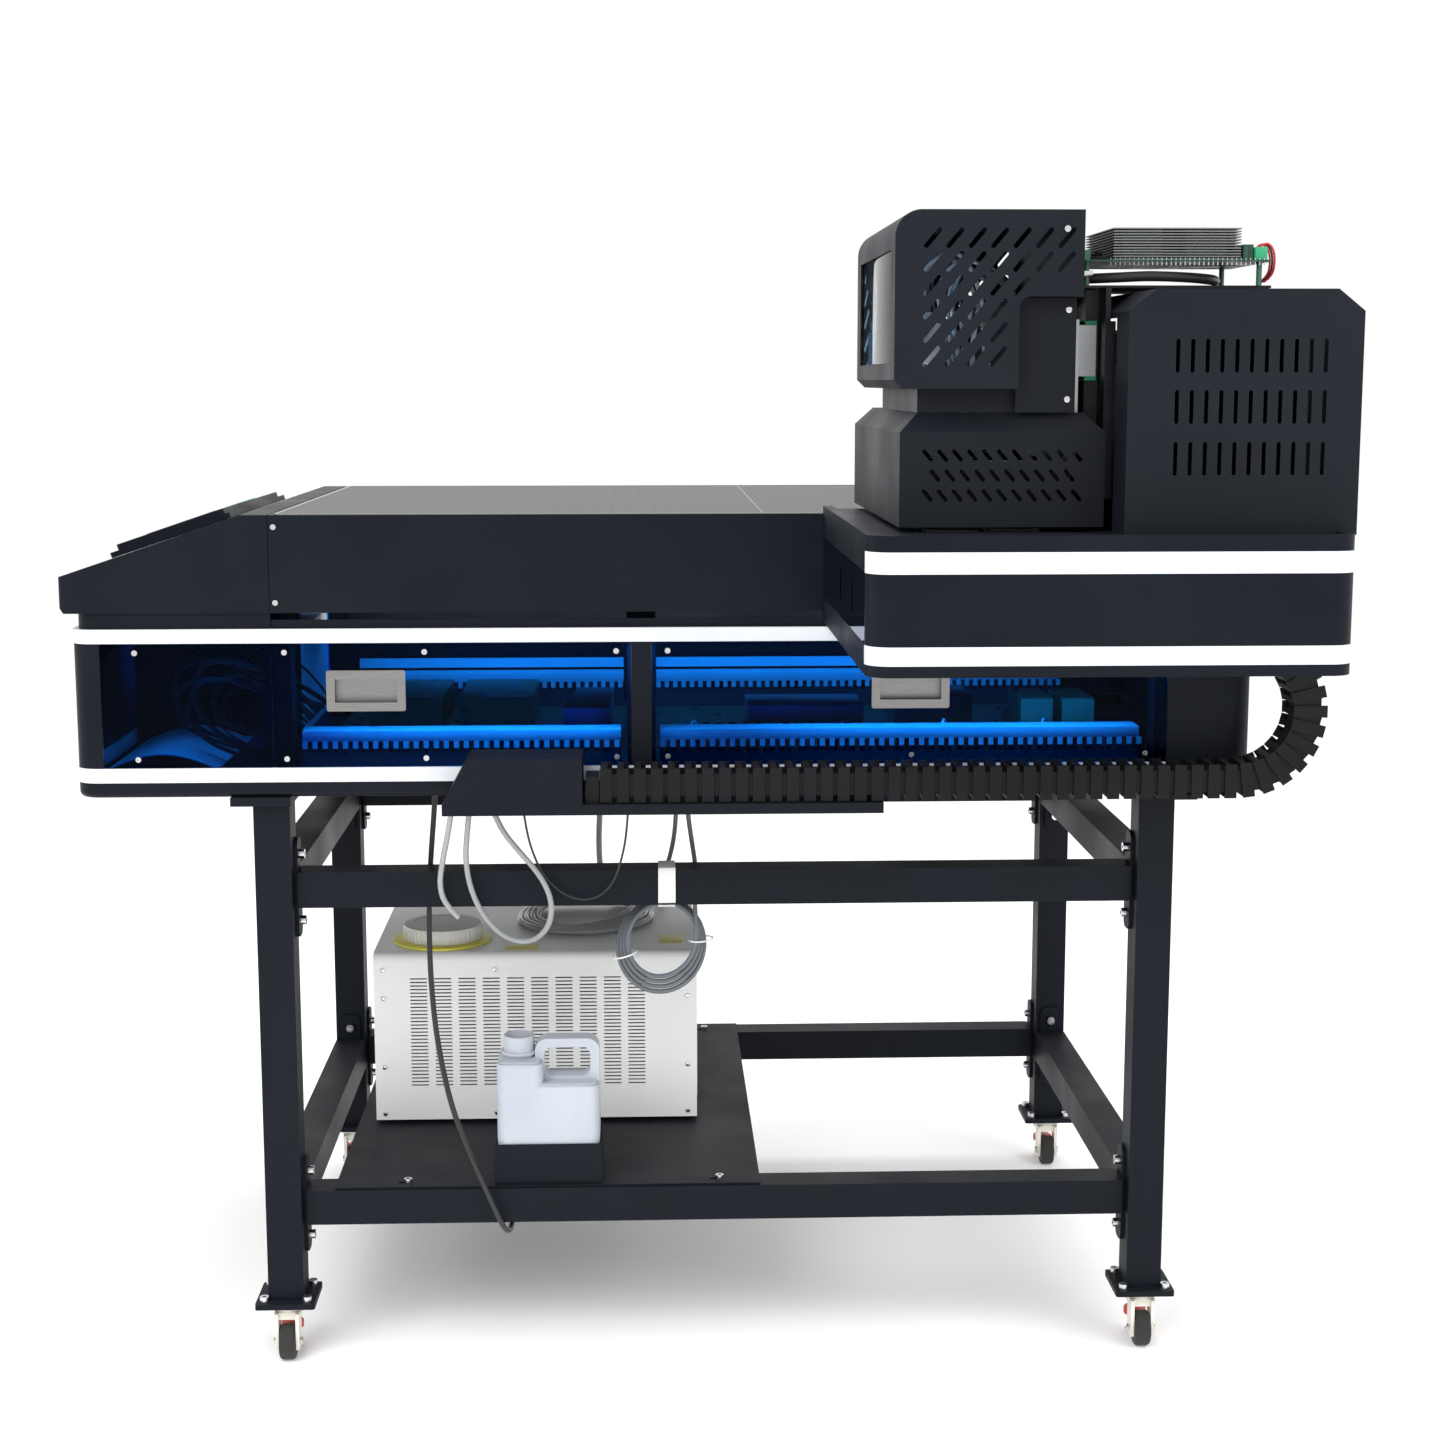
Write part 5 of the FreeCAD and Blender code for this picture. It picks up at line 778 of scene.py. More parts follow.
# ---------------------------------------------------------------- camera, light and floor
@dataclass
class Studio:
    """Pale room with soft light, and the camera."""

    eye: tuple = (-0.0728, -3.2270, 1.3819)
    down: float = 8.596
    right: float = 2.126
    roll: float = 0.034
    lens: float = 56.45

    def build(self) -> None:
        """Set up the camera, floor, world and lamps."""
        self._camera()
        self._floor()
        self._world()
        self._lamp("key", (-1.6, -2.4, 2.9), (0.2, 0.0, 0.9), 2.6, 95.0)
        self._lamp("fill", (2.6, -2.2, 2.2), (0.4, 0.0, 0.9), 2.4, 55.0)
        self._lamp("top", (0.2, 0.2, 3.4), (0.2, 0.2, 0.0), 2.4, 70.0)
        self._lamp("bay_left", *self._bay(330.0, 24.0), 0.46, 2.2, 0.03)
        self._lamp("bay_right", *self._bay(970.0, 24.0), 0.50, 2.4, 0.03)
        self._lamp("bay_front", *self._bay(-110.0, 70.0), 0.10, 0.20, 0.05)
        self._lamp("bay_back", placed(640.0, 600.0, 1050.0), placed(640.0, 722.0, 900.0), 1.1, 2.4,
                   0.03)

    @staticmethod
    def _bay(x: float, y: float) -> tuple[Vector, Vector]:
        """Place and aim of a small lamp behind the near panes."""
        return placed(x, y, 1015.0), placed(x, y + 40.0, 885.0)

    def _camera(self) -> None:
        """Add the camera."""
        data = bpy.data.cameras.new("camera")
        data.lens, data.sensor_width = self.lens, 36.0
        data.clip_start, data.clip_end = 0.05, 60.0
        eye = bpy.data.objects.new("camera", data)
        down, right, roll = map(math.radians, (self.down, self.right, self.roll))
        eye.matrix_world = (Matrix.Translation(Vector(self.eye)) @ Matrix.Rotation(-right, 4, "Z")
                            @ Matrix.Rotation(math.pi / 2 - down, 4, "X")
                            @ Matrix.Rotation(-roll, 4, "Z"))
        bpy.context.scene.collection.objects.link(eye)
        bpy.context.scene.camera = eye

    @staticmethod
    def _floor() -> None:
        """Add a wide pale floor."""
        room = bmesh.new()
        bmesh.ops.create_grid(room, x_segments=1, y_segments=1, size=40.0)
        data = bpy.data.meshes.new("floor")
        room.to_mesh(data)
        room.free()
        material, tree, shader = started_material("pale_floor")
        tone = noise_node(tree, object_coordinates(tree), 3.0)
        tree.links.new(blend_colours(tree, tone, (0.93, 0.93, 0.93), (0.95, 0.95, 0.95)),
                       shader.inputs["Base Color"])
        shader.inputs["Roughness"].default_value = 0.9
        shader.inputs["Specular IOR Level"].default_value = 0.1
        shader.inputs["Emission Color"].default_value = (1.0, 1.0, 1.0, 1.0)
        shader.inputs["Emission Strength"].default_value = 0.07
        data.materials.append(material)
        floor = bpy.data.objects.new("floor", data)
        bpy.context.scene.collection.objects.link(floor)

    @staticmethod
    def _world() -> None:
        """Set an even white surround."""
        world = bpy.data.worlds.new("room")
        world.use_nodes = True
        world.node_tree.nodes["Background"].inputs[0].default_value = (1.0, 1.0, 1.0, 1.0)
        world.node_tree.nodes["Background"].inputs[1].default_value = 1.0
        bpy.context.scene.world = world
        bpy.context.scene.view_settings.view_transform = "Standard"

    @staticmethod
    def _lamp(name: str, at: tuple, aim: tuple, size: float, power: float,
              width: float | None = None) -> None:
        """Add a soft lamp that only lights, and isn't seen itself.

        Args:
            name: Name of the lamp.
            at: Its place in the row frame.
            aim: Point that it faces.
            size: Length of its side, in metres.
            power: Power in watts.
            width: Its other side, if it isn't square.
        """
        data = bpy.data.lights.new(name, "AREA")
        data.size, data.energy = size, power
        if width is not None:
            data.shape, data.size_y = "RECTANGLE", width
        lamp = bpy.data.objects.new(name, data)
        lamp.location = at
        lamp.rotation_euler = (Vector(aim) - Vector(at)).to_track_quat("-Z", "Y").to_euler()
        lamp.visible_camera = lamp.visible_transmission = lamp.visible_glossy = False
        bpy.context.scene.collection.objects.link(lamp)


# ---------------------------------------------------------------- cords
@dataclass
class HangingLines:
    """Free hoses and cables, and what ties them."""

    hose_radius: float = 4.0
    wire_radius: float = 1.6
    lead_radius: float = 4.0
    coil_radius: float = 3.4
    coil_hose_radius: float = 5.0
    supply: tuple = (
        (298, -22, 803), (294, -16, 768), (290, -9, 730), (295, 0, 686), (313, 4, 644),
        (343, 5, 612), (379, 4, 606), (405, 1, 630), (409, -3, 668), (393, -10, 706),
        (363, -15, 742), (339, -19, 774), (329, -24, 803))
    drain: tuple = (
        (274, -22, 803), (268, -16, 768), (259, -8, 728), (253, -2, 694), (259, 0, 664),
        (279, 1, 644))
    thin: tuple = (
        (371, -20, 803), (374, -16, 776), (381, -9, 742), (395, -2, 706), (417, 3, 680),
        (445, 5, 666), (473, 4, 670), (495, 1, 693), (507, -5, 732), (513, -12, 768),
        (515, -18, 803))
    lead: tuple = (
        (241, 98, 817), (240, 98, 790), (236, 97, 745), (232, 94, 695), (230, 88, 642),
        (230, 78, 586), (233, 64, 530), (239, 48, 474), (249, 32, 420), (263, 16, 366),
        (283, 4, 314), (305, -4, 264), (323, -5, 222), (335, 8, 188), (341, 36, 174),
        (343, 72, 176), (343, 104, 192), (342, 124, 218), (342, 130, 244))

    def build(self) -> None:
        """Make every free line and its ties."""
        self._declared("supply_hose_line", self.supply, self.hose_radius, "hose_natural",
                       ("hanging_lines",), "object", "medium", "hanging")
        self._declared("drain_hose_line", self.drain, self.hose_radius, "hose_natural",
                       ("hanging_lines",), "bare", "medium", "hanging")
        self._declared("thin_wire_line", self.thin, self.wire_radius, "cable_black",
                       ("hanging_lines",), "object", "limp", "hanging")
        self._declared("black_lead_line", self.lead, self.lead_radius, "cable_black",
                       ("black_lead",), "object", "medium", "hanging")
        self._cable_coil()
        self._hose_coil()
        self._drain_end_shade()
        self._strap()

    @staticmethod
    def _declared(name: str, route: tuple, radius: float, material: str,
                  nodes: tuple[str, ...], far_end: str, stiffness: str,
                  lay: str) -> bpy.types.Object:
        """Make one free line that stands for a CAD node.

        Args:
            name: Name of the piece.
            route: Its points in machine millimetres.
            radius: Its radius in millimetres.
            material: Its finish.
            nodes: The CAD nodes that it stands for.
            far_end: What its far end is; not used.
            stiffness: How stiff it is; not used.
            lay: How it lies; not used.

        Returns:
            The finished line.
        """
        line = flexible_line(name, list(route), radius, material, Part.STAND)
        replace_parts(line, *nodes)
        round(spline_length(line), 3)
        return line

    def _cable_coil(self) -> None:
        """Grey cable: down from the body, round its hanging coil and back up."""
        route = [(596, 86, 817), (598, 88, 780), (604, 92, 735), (611, 97, 690), (608, 96, 652)]
        turns, steps, first = 3.75, 14, math.radians(20)
        for i in range(round(turns * steps) + 1):
            angle = first - i * math.tau / steps
            lap, low = i / steps - turns / 2, 0.5 - 0.5 * math.sin(angle)
            spread = 9.0 * lap * low + 2.0 * math.sin(2 * angle + 0.6)
            depth = 7.9 * lap * (1.0 - 0.5 * low)
            route.append((562 + (56 + spread) * math.cos(angle), 102 + depth,
                          580 + (64 + spread) * math.sin(angle)))
        route += [(560, 112, 664), (571, 105, 696), (580, 100, 735), (583, 96, 780),
                  (584, 94, 817)]
        line = self._declared("cable_coil_line", tuple(route), self.coil_radius, "cable_grey",
                              ("cable_coil", "hanging_lines"), "object", "medium", "coiled")
        ties = Workpiece("cable_coil_ties")
        for degrees, outer in ((195.0, 19.0), (5.0, 18.0)):
            turn = math.radians(degrees)
            centre = Vector((562 + 56 * math.cos(turn), 102.0, 580 + 64 * math.sin(turn)))
            tangent = Vector((-math.sin(turn), 0.0, math.cos(turn)))
            ties.ring(tuple(centre - tangent * 1.5), tangent, outer, outer - 1.2, 2.0, 24)
        ties.finish("strap_white", Part.STAND)
        LOG.info("%s is %.2f m long", line.name, spline_length(line))

    def _hose_coil(self) -> None:
        """Natural hose: from the body, round its coil on the chiller, into the chiller."""
        route = [(470, 655, 817), (470, 652, 770), (468, 645, 720), (464, 636, 670),
                 (462, 624, 615), (465, 617, 572), (472, 618, 543), (484, 615, 527)]
        turns, steps, first = 3.8, 16, math.radians(58)
        for i in range(round(turns * steps) + 1):
            angle, lap = first - i * math.tau / steps, i / steps
            radius = 112.0 - 10.4 * lap + 3.0 * math.sin(2 * angle)
            height = 522.6 + 7.5 * lap * (0.5 + 0.5 * math.sin(angle + 0.5))
            route.append((440 + radius * math.cos(angle), 508 + radius * math.sin(angle), height))
        route += [(428, 583, 556), (466, 597, 562), (498, 613, 565), (518, 632, 565),
                  (538, 645, 562), (560, 648, 549), (570, 648, 520)]
        line = self._declared("hose_coil_line", tuple(route), self.coil_hose_radius,
                              "hose_natural", ("hose_coil", "hanging_lines"), "object", "medium",
                              "coiled")
        LOG.info("%s is %.2f m long", line.name, spline_length(line))

    def _drain_end_shade(self) -> None:
        """Painted shade: a near-black plug at the drain hose's open end, standing in for the shade
        in its bore.
        """
        end, before = Vector(self.drain[-1]), Vector(self.drain[-2])
        out = (end - before).normalized()
        bore = Workpiece("drain_hose_end_shade")
        bore.rod(tuple(end + out * 0.05), out, self.hose_radius * 0.62, 0.4, 20)
        bore.finish("cable_black", Part.STAND)

    @staticmethod
    def _strap() -> None:
        """White strap looped round the upper near rail and the top of the cable coil."""
        points = [(556, 13.2, 661), (556, 13.2, 680), (556, 13.6, 704), (556, 16.5, 708.6),
                  (556, 40, 709.2), (556, 66, 708.6), (556, 70, 704), (556, 88, 680),
                  (556, 112, 662), (556, 124, 652), (556, 126, 643), (556, 120, 637.5),
                  (556, 96, 637), (556, 72, 640), (556, 40, 650), (556, 18, 657),
                  (556, 13.2, 661)]
        Workpiece("coil_strap").ribbon(points, (24, 0, 0), 1.2).finish("strap_white", Part.STAND)


# ---------------------------------------------------------------- drag chain
@dataclass
class DragChain:
    """Lower and upper runs of the drag chain."""

    bend_x: float = 1340.0
    radius: float = 94.5
    bend_links: int = 13
    lower_links: int = 38
    top_z: float = 1034.5
    near_y: float = -96.0
    width: float = 58.0
    height: float = 46.0
    travel: float = 850.0
    stored_to: float = 1254.0

    @property
    def pitch(self) -> float:
        """Distance between two joints of the chain."""
        return 2 * self.radius * math.sin(math.pi / (2 * self.bend_links))

    def build(self) -> None:
        """Make both runs."""
        self._lower()
        self._upper()

    def _lower(self) -> None:
        """Lower run: a copy of the CAD links."""
        data = frame["nodes"]["chain_lower_run"].data.copy()
        data.name = "chain_lower_links"
        merged = bmesh.new()
        merged.from_mesh(data)
        bmesh.ops.remove_doubles(merged, verts=merged.verts, dist=1e-6)
        merged.to_mesh(data)
        merged.free()
        run = bpy.data.objects.new("chain_lower_links", data)
        bpy.context.scene.collection.objects.link(run)
        data.materials.clear()
        data.materials.append(FINISHES["moulded_black"])
        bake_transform(run)
        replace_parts(run, "chain_lower_run")
        LOG.info("chain_lower_links blends from stand to gantry")

    def _upper(self) -> None:
        """Upper run: links closed up under the end box."""
        full = self.travel / 2 + (self.bend_x - self.stored_to)
        count = round(full / self.pitch)
        stored = (self.bend_x - self.stored_to) / count
        squeeze = stored / self.pitch
        piece = Workpiece("chain_upper_links")
        half = self.height / 2
        for i in range(count):
            x0 = self.stored_to + i * stored
            long_step, short_step = 0.98 * self.pitch * squeeze, 0.55 * self.pitch * squeeze
            for y, inner in ((self.near_y, 2.5), (self.near_y + self.width - 2.5, -2.5)):
                piece.block((x0, y, self.top_z - half), (x0 + short_step, y + 2.5,
                                                         self.top_z + half - 0.6))
                piece.block((x0 + short_step, y + inner * 0.6, self.top_z - half + 4),
                            (x0 + long_step, y + inner * 0.6 + 2.5, self.top_z + half - 4))
            piece.block((x0 + 0.3 * short_step, self.near_y + 2, self.top_z - half),
                        (x0 + 0.8 * short_step, self.near_y + self.width - 2,
                         self.top_z - half + 3))
        run = piece.finish("moulded_black", Part.STAND, smooth=False)
        run.parent = None
        del run["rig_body"]
        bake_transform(run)
        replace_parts(run, "chain_upper_run")
        LOG.info("chain_upper_links blends from stand to gantry")


# ---------------------------------------------------------------- chiller and shelf
@dataclass
class ChillerDetails:
    """Cap, labels, cover plate and screws of the chiller."""

    left: float = 122.5
    right: float = 616.5
    front: float = 300.0
    back: float = 670.0
    bottom: float = 254.0
    top: float = 517.0
    cap_at: tuple = (222.0, 388.0, 517.3)
    vent_columns: int = 10
    vent_rows: int = 31
    vent_start: tuple[float, float] = (68.5, 54.0)
    vent_pitch: tuple[float, float] = (37.0, 5.6)
    vent_size: tuple[float, float] = (26.0, 2.0)

    @property
    def cap(self) -> Vector:
        """Middle of the filler cap's seat."""
        return Vector(self.cap_at)

    def build(self) -> None:
        """Make every detail."""
        flange = Workpiece("filler_flange")
        flange.rod(tuple(self.cap), Axis.Z, 76.0, 3.0, 64, 0.8)
        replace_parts(flange.finish("flange_yellow", Part.CAP), "chiller_cap")
        cap = Workpiece("filler_cap_top")
        cap.rod((self.cap.x, self.cap.y, self.cap.z + 3.0), Axis.Z, 60.5, 24.0, 64, 3.0)
        for i in range(48):
            angle = i * math.tau / 48
            cap.rod((self.cap.x + 60.6 * math.cos(angle), self.cap.y + 60.6 * math.sin(angle),
                     self.cap.z + 4.0), Axis.Z, 1.4, 19.0, 6)
        cap.ring((self.cap.x, self.cap.y, self.cap.z + 26.6), Axis.Z, 50.0, 46.0, 0.8, 48)
        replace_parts(cap.finish("cap_white", Part.CAP), "chiller_cap")
        self._screws()
        self._labels()
        self._plate()
        self._vent_shade()

    def _screws(self) -> None:
        """Round-headed screws round the front."""
        screws = Workpiece("chiller_screws")
        xs = (self.left + 14, (self.left + self.right) / 2 - 62, self.right - 14)
        spots = [(x, self.bottom + 10) for x in xs]
        spots += [(x, z) for x in (xs[0], xs[2]) for z in (self.bottom + 84, self.top - 70,
                                                           self.top - 26)]
        spots.append((xs[1], self.top - 26))
        for x, z in spots:
            screws.rod((x, self.front - 2.2, z), Axis.Y, 3.6, 2.4, 16, 0.8)
        screws.finish("plated_bolt", Part.STAND)

    def _vent_shade(self) -> None:
        """Painted shade: near-black blocks at the backs of the front's louvre slots, standing in
        for the shade inside them.
        """
        vents = Workpiece("vent_painted_shade")
        width, height = (size - 0.2 for size in self.vent_size)
        for column in range(self.vent_columns):
            for row in range(self.vent_rows):
                x = self.left + self.vent_start[0] + self.vent_pitch[0] * column
                z = self.bottom + self.vent_start[1] + self.vent_pitch[1] * row + 0.1
                vents.block((x - width / 2, self.front + 1.0, z),
                            (x + width / 2, self.front + 3.9, z + height))
        vents.finish("moulded_black", Part.STAND, smooth=False)

    def _labels(self) -> None:
        """Blank yellow pads on the top."""
        labels = Workpiece("chiller_pads")
        labels.block((322, 318, self.top), (372, 352, self.top + 0.6), 0.2)
        labels.block((560, 350, self.top), (596, 402, self.top + 0.6), 0.2)
        labels.finish("flange_yellow", Part.STAND)

    def _plate(self) -> None:
        """Raised plate on the right side, and painted shade: a near-black pad standing in for the
        shade in the grip slot.
        """
        plate = Workpiece("chiller_side_plate")
        plate.block((self.right, self.front + 30, self.bottom + 24),
                    (self.right + 1.2, self.back - 40, self.top - 40), 0.5)
        plate.finish("chiller_white", Part.STAND)
        grip = Workpiece("chiller_grip_painted_shade")
        grip.block((self.right + 1.1, 430, self.top - 92), (self.right + 2.4, 540, self.top - 66),
                   0.6)
        grip.finish("moulded_black", Part.STAND)


# ---------------------------------------------------------------- body of the machine
@dataclass
class BodyDetails:
    """Table trim, control screen and what shows behind the tinted panes."""

    table_top: float = 1203.0
    near: float = -12.5
    front: float = 35.0
    rear: float = 1374.0
    floor: float = 850.0
    duct_runs: tuple = ((62, 505), (560, 1235))
    duct_walls: tuple = ((54.5, 98.5), (676.5, 720.5))
    cover_bottom: float = 884.0
    tooth_pitch: float = 14.0

    def build(self) -> None:
        """Make every detail."""
        self._trim()
        self._screen()
        self._wiring()
        self._interior_shade()
        self._duct_covers()
        self._modules()

    def _trim(self) -> None:
        """Thin bright edging round the table."""
        far = 2 * MID_Y - self.near
        trim = Workpiece("table_trim")
        z0, z1 = self.table_top, self.table_top + 0.7
        near_y, far_y = self.near + 10, far - 10
        trim.block((self.front + 4, near_y, z0), (self.rear - 4, near_y + 5, z1), 0.2)
        trim.block((self.front + 4, far_y - 5, z0), (self.rear - 4, far_y, z1), 0.2)
        trim.block((self.front + 4, near_y, z0), (self.front + 9, far_y, z1), 0.2)
        trim.block((700, near_y, z0), (701.5, far_y, z1 - 0.3))
        trim.finish("anodised_grey", Part.STAND)

    def _screen(self) -> None:
        """Screen and keys on the sloped panel."""
        slope = math.atan2(132.0 - 49.0, 246.0)
        turn = Matrix.Rotation(-slope, 3, "Y")
        nose = Vector((-250.0, 0.0, 1120.0))

        def on_slope(along: float, y: float, above: float) -> Vector:
            """Point on the slope, measured along it and above it."""
            return nose + turn @ Vector((along, y, above))

        screen = Workpiece("control_screen")
        half = Vector((50.0, 95.0, 0.6))
        centre = on_slope(152.0, 230.0, 16.4)
        screen.block(tuple(centre - half), tuple(centre + half), 0.4, turn)
        screen.finish("screen_dark", Part.STAND)
        keys = Workpiece("control_keys")
        for row in range(3):
            for column in range(5):
                spot = on_slope(118.0 + 34.0 * row, 370.0 + 32.0 * column, 16.8)
                size = Vector((11.0, 11.0, 1.2))
                keys.block(tuple(spot - size), tuple(spot + size), 1.0, turn)
        keys.finish("connector_green", Part.STAND)

    @staticmethod
    def _wiring() -> None:
        """Bundles of wires between the front bay and the boards."""
        dice = random.Random(11)
        for i in range(9):
            y = 90.0 + 34.0 * i
            top = 1010.0 - dice.uniform(0, 70)
            reach = dice.uniform(-140, -40)
            route = [(60, y, 900), (20, y - 10, top - 30), (reach, y, top),
                     (reach - 30, y + 20, top - 70), (reach + 20, y + 30, 860),
                     (reach + 90, y + 10, 848)]
            name = f"bay_wire_{i + 1}"
            flexible_line(name, route, dice.choice((2.0, 3.0, 4.0)),
                          "cable_black", Part.STAND, 5)
        for i in range(8):
            x = 600.0 + 72.0 * i
            route = [(x, 100, 880), (x + 6, 118, 905), (x + 14, 150, 890),
                     (x + 20, 180, 864), (x + 22, 195, 856)]
            flexible_line(f"board_wire_{i + 1}", route, 1.8,
                          dice.choice(("wire_red", "cable_black", "ribbon_white")), Part.STAND, 5)

    def _interior_shade(self) -> None:
        """Painted shade: near-black sheets in the bays that stand in for the shade inside the body,
        and a pale bar along the rear one.
        """
        sheet = Workpiece("bay_painted_shade")
        sheet.block((40, 724, self.floor), (1330, 726, 1140))
        sheet.block((-226, 330, self.floor), (22, 332, 1085))
        sheet.finish("frame_black", Part.STAND)
        bar = Workpiece("bay_back_bar")
        for x0, x1 in self.duct_runs:
            bar.block((x0, 722, 903), (x1, 723.8, 919))
        bar.finish("duct_light", Part.STAND)

    def _duct_covers(self) -> None:
        """Pale snap-on covers of the wiring ducts, with the slotted walls' tips below them."""
        covers = Workpiece("duct_covers")
        z, pitch = self.cover_bottom, self.tooth_pitch
        for y0, y1 in self.duct_walls:
            for x0, x1 in self.duct_runs:
                covers.block((x0, y0, z), (x1, y1, z + 15), 0.5)
                for i in range(round((x1 - x0 - 8) / pitch) + 1):
                    x = x0 + pitch * i
                    covers.block((x, y0, z - 10), (x + pitch / 2, y0 + 1.4, z + 0.5))
        covers.finish("duct_light", Part.STAND)

    @staticmethod
    def _modules() -> None:
        """Bright housings and round parts on the mounting plate."""
        bright = Workpiece("bay_modules")
        for x, y, w, d, h in ((640, 184, 34, 34, 10), (1000, 200, 26, 60, 24),
                              (1085, 260, 90, 60, 40), (420, 200, 70, 110, 60),
                              (430, 380, 60, 160, 44), (700, 400, 180, 120, 34),
                              (930, 400, 120, 130, 46)):
            bright.block((x, y, 839), (x + w, y + d, 849 + h), 1.5)
        bright.finish("anodised_grey", Part.STAND)
        caps = Workpiece("bay_capacitors")
        for i in range(10):
            caps.rod((612 + 20 * i, 300 + 8 * (i % 2), 850), Axis.Z, 6.0, 20.0, 16, 0.8)
        caps.finish("moulded_black", Part.STAND)
        # Painted light: pale sheets in the front bay that stand in for the bright background seen
        # through the far pane.
        shroud = Workpiece("front_bay_painted_light")
        points = [(-210 + 14 * i, 60.0, 846 + 60 * math.sin(i / 11 * math.pi) * 0.35)
                  for i in range(12)]
        shroud.ribbon(points, (0, 560, 0), 1.5)
        shroud.block((-60, 380, 846), (20, 640, 1010), 2.0)
        shroud.finish("ribbon_white", Part.STAND)


# ---------------------------------------------------------------- head and carriage
@dataclass
class HeadDetails:
    """Small parts in and round the head covers."""

    block_z: float = 1386.0
    block_h: float = 58.0
    rail_y: tuple[float, float] = (-440.0, -135.0)
    plate_x: float = 1064.0

    def build(self) -> None:
        """Make every detail."""
        self._end_caps()
        self._tubes()
        self._window()
        self._neck_screws()

    def _end_caps(self) -> None:
        """Green end caps on the lift's linear blocks."""
        caps = Workpiece("lift_block_caps")
        x0, x1 = self.plate_x - 24.5, self.plate_x - 3.5
        for y in self.rail_y:
            for z in (self.block_z - 5.0, self.block_z + self.block_h):
                caps.block((x0, y - 10, z), (x0 + 8.0, y + 25, z + 5.0), 0.8)
                caps.block((x0, y - 10, z), (x1, y - 1.5, z + 5.0), 0.8)
                caps.block((x0, y + 16.5, z), (x1, y + 25, z + 5.0), 0.8)
        caps.finish("connector_green", Part.HEAD)

    @staticmethod
    def _tubes() -> None:
        """Ink tubes, filters and ribbons that show through the vents."""
        dice = random.Random(7)
        for i in range(10):
            x, y = 850.0 + 11.0 * i, -480.0 + 36.0 * i
            route = [(x + 20, y, 1310), (x + 10, y + 6, 1385), (x, y + 20, 1450),
                     (x + dice.uniform(-10, 10), y + 30, 1500),
                     (x + dice.uniform(10, 40), y + 10, 1535), (x + 60, y - 10, 1500),
                     (x + 74, y, 1440 if x < 870 else 1488)]
            flexible_line(f"ink_tube_{i + 1}", route, 2.6,
                          dice.choice(("ribbon_white", "cable_black", "hose_natural")),
                          Part.HEAD, 5)
        filters = Workpiece("ink_filters")
        for i in range(5):
            filters.rod((862.0, -470.0 + 80 * i, 1400), Axis.Z, 15.0, 46.0, 20, 2.0)
            filters.rod((862.0, -470.0 + 80 * i, 1446), Axis.Z, 5.0, 12.0, 12, 1.0)
        filters.finish("ribbon_white", Part.HEAD)
        ribbon = Workpiece("head_ribbons")
        for i, y in enumerate((-440.0, -350.0, -250.0, -170.0)):
            points = [(940 + 6 * math.sin(k * 0.8 + i), y, 1300 + 24 * k) for k in range(8)]
            ribbon.ribbon(points, (0, 38, 0), 0.7)
        ribbon.finish("ribbon_white", Part.HEAD)

    @staticmethod
    def _window() -> None:
        """Clear pane in the upper cover's front."""
        pane = Workpiece("head_window")
        pane.block((820.2, -488, 1398), (822.2, -131, 1529), 0.3)
        pane.finish("window_clear", Part.HEAD)

    @staticmethod
    def _neck_screws() -> None:
        """Screws on the inner cover's edge."""
        screws = Workpiece("inner_cover_screws")
        for z in (1360.0, 1460.0):
            screws.rod((1018.0, -502.2, z), Axis.Y, 3.8, 2.4, 16, 0.8)
        screws.rod((1010.0, -527.2, 1548.0), Axis.Y, 3.8, 2.4, 16, 0.8)
        screws.finish("plated_bolt", Part.HEAD)


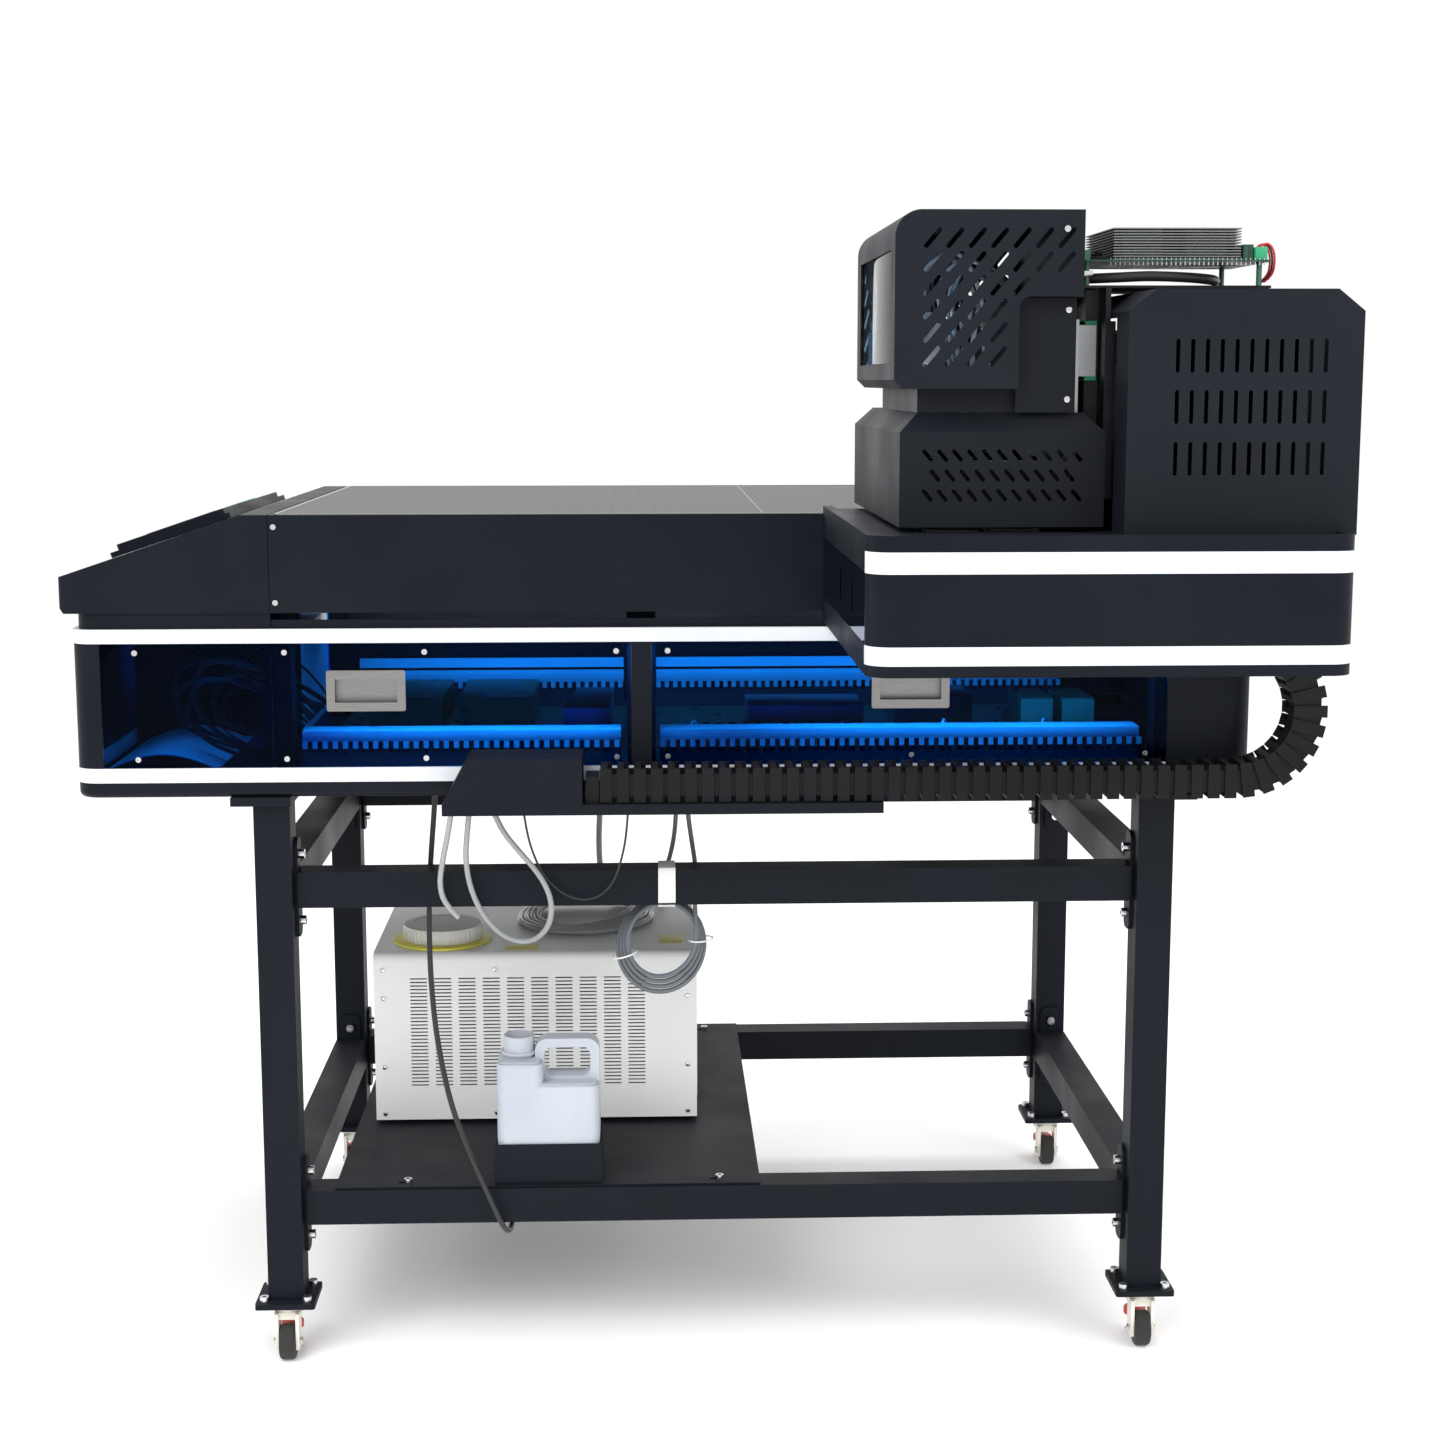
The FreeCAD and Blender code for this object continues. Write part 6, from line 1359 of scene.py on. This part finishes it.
@dataclass
class BoardDetails:
    """Parts, plugs and wires on the board above the beam cover."""

    left: float = 1034.0
    right: float = 1260.0
    near: float = -455.0
    top: float = 1518.0

    def build(self) -> None:
        """Make every detail."""
        plugs = Workpiece("terminal_plugs")
        for i in range(5):
            y = self.near + 8 + 36 * i
            plugs.block((self.right - 17, y, self.top + 0.3), (self.right - 3, y + 30,
                                                               self.top + 15), 0.8)
        plugs.finish("connector_green", Part.CARRIAGE)
        chips = Workpiece("board_chips")
        for i in range(4):
            y = self.near + 12 + 40 * i
            chips.block((self.left + 20, y, self.top), (self.left + 40, y + 26, self.top + 4), 0.4)
            chips.rod((self.left + 34, y + 33, self.top), Axis.Z, 4.0, 11.0, 12, 0.6)
        chips.finish("moulded_black", Part.CARRIAGE)
        self._pins()
        self._harness()

    def _pins(self) -> None:
        """Plated pins and solder legs along the board's near edge, below and above it."""
        pins = Workpiece("board_pins")
        for i in range(34):
            x = self.left + 40 + 5.4 * i
            pins.rod((x, self.near + 3.5, self.top - 6.0), Axis.Z, 0.7, 8.0, 6)
        pins.block((1030, self.near - 9, 1499), (1052, self.near + 8, 1505), 0.8)
        pins.finish("plated_bolt", Part.CARRIAGE)

    def _harness(self) -> None:
        """Black cables under the board and three supply wires at its right end."""
        for i, (rise, radius) in enumerate(((0.0, 6.0), (9.0, 5.0))):
            route = [(1038, self.near + 30 + 24 * i, 1497), (1080, self.near + 10 + 26 * i, 1498),
                     (1120, self.near + 8 + 26 * i, 1500 + rise * 0.3),
                     (1165, self.near + 18 + 26 * i, 1499 + rise * 0.2),
                     (1205, self.near + 40 + 24 * i, 1497), (1215, self.near + 80, 1497)]
            flexible_line(f"harness_cable_{i + 1}", route, radius, "cable_black", Part.CARRIAGE)
        for i, material in enumerate(("wire_red", "cable_black", "wire_red")):
            y = self.near + 20 + 10 * i
            route = [(1250, y, 1531), (1256, y - 2, 1540), (1266, y - 4, 1532),
                     (1268, y - 4, 1515), (1266, y, 1500), (1258, y + 6, 1494)]
            flexible_line(f"supply_wire_{i + 1}", route, 1.3, material, Part.CARRIAGE)


@dataclass
class CasterDetails:
    """Hubs and axle nuts of the four casters."""

    legs_x: tuple[float, float] = (25.0, 1251.0)
    legs_y: tuple[float, float] = (25.0, 793.0)
    trail: float = -16.0
    axle_z: float = 25.0

    def build(self) -> None:
        """Make the nuts on each fork."""
        corner = 0
        for x in self.legs_x:
            for y in self.legs_y:
                corner += 1
                nuts = Workpiece(f"axle_nuts_{corner}")
                for side in (-1, 1):
                    nuts.rod((x + side * 17.0, y + self.trail, self.axle_z),
                             Vector((side, 0, 0)), 6.0, 3.5, 6, 0.6)
                made = nuts.finish("plated_bolt", Part.STAND)
                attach(made, f"swivel_{corner}")


def main() -> None:
    """Build the looks in order."""
    logging.basicConfig(level=logging.INFO, format="%(name)s: %(message)s")
    Studio().build()
    HangingLines().build()
    FrameDressing().dress()
    for assembly in (DragChain(), ChillerDetails(), BodyDetails(), HeadDetails(), BoardDetails(),
                     CasterDetails()):
        assembly.build()
        LOG.info("%s built", type(assembly).__name__)


if __name__ == "__main__":
    main()
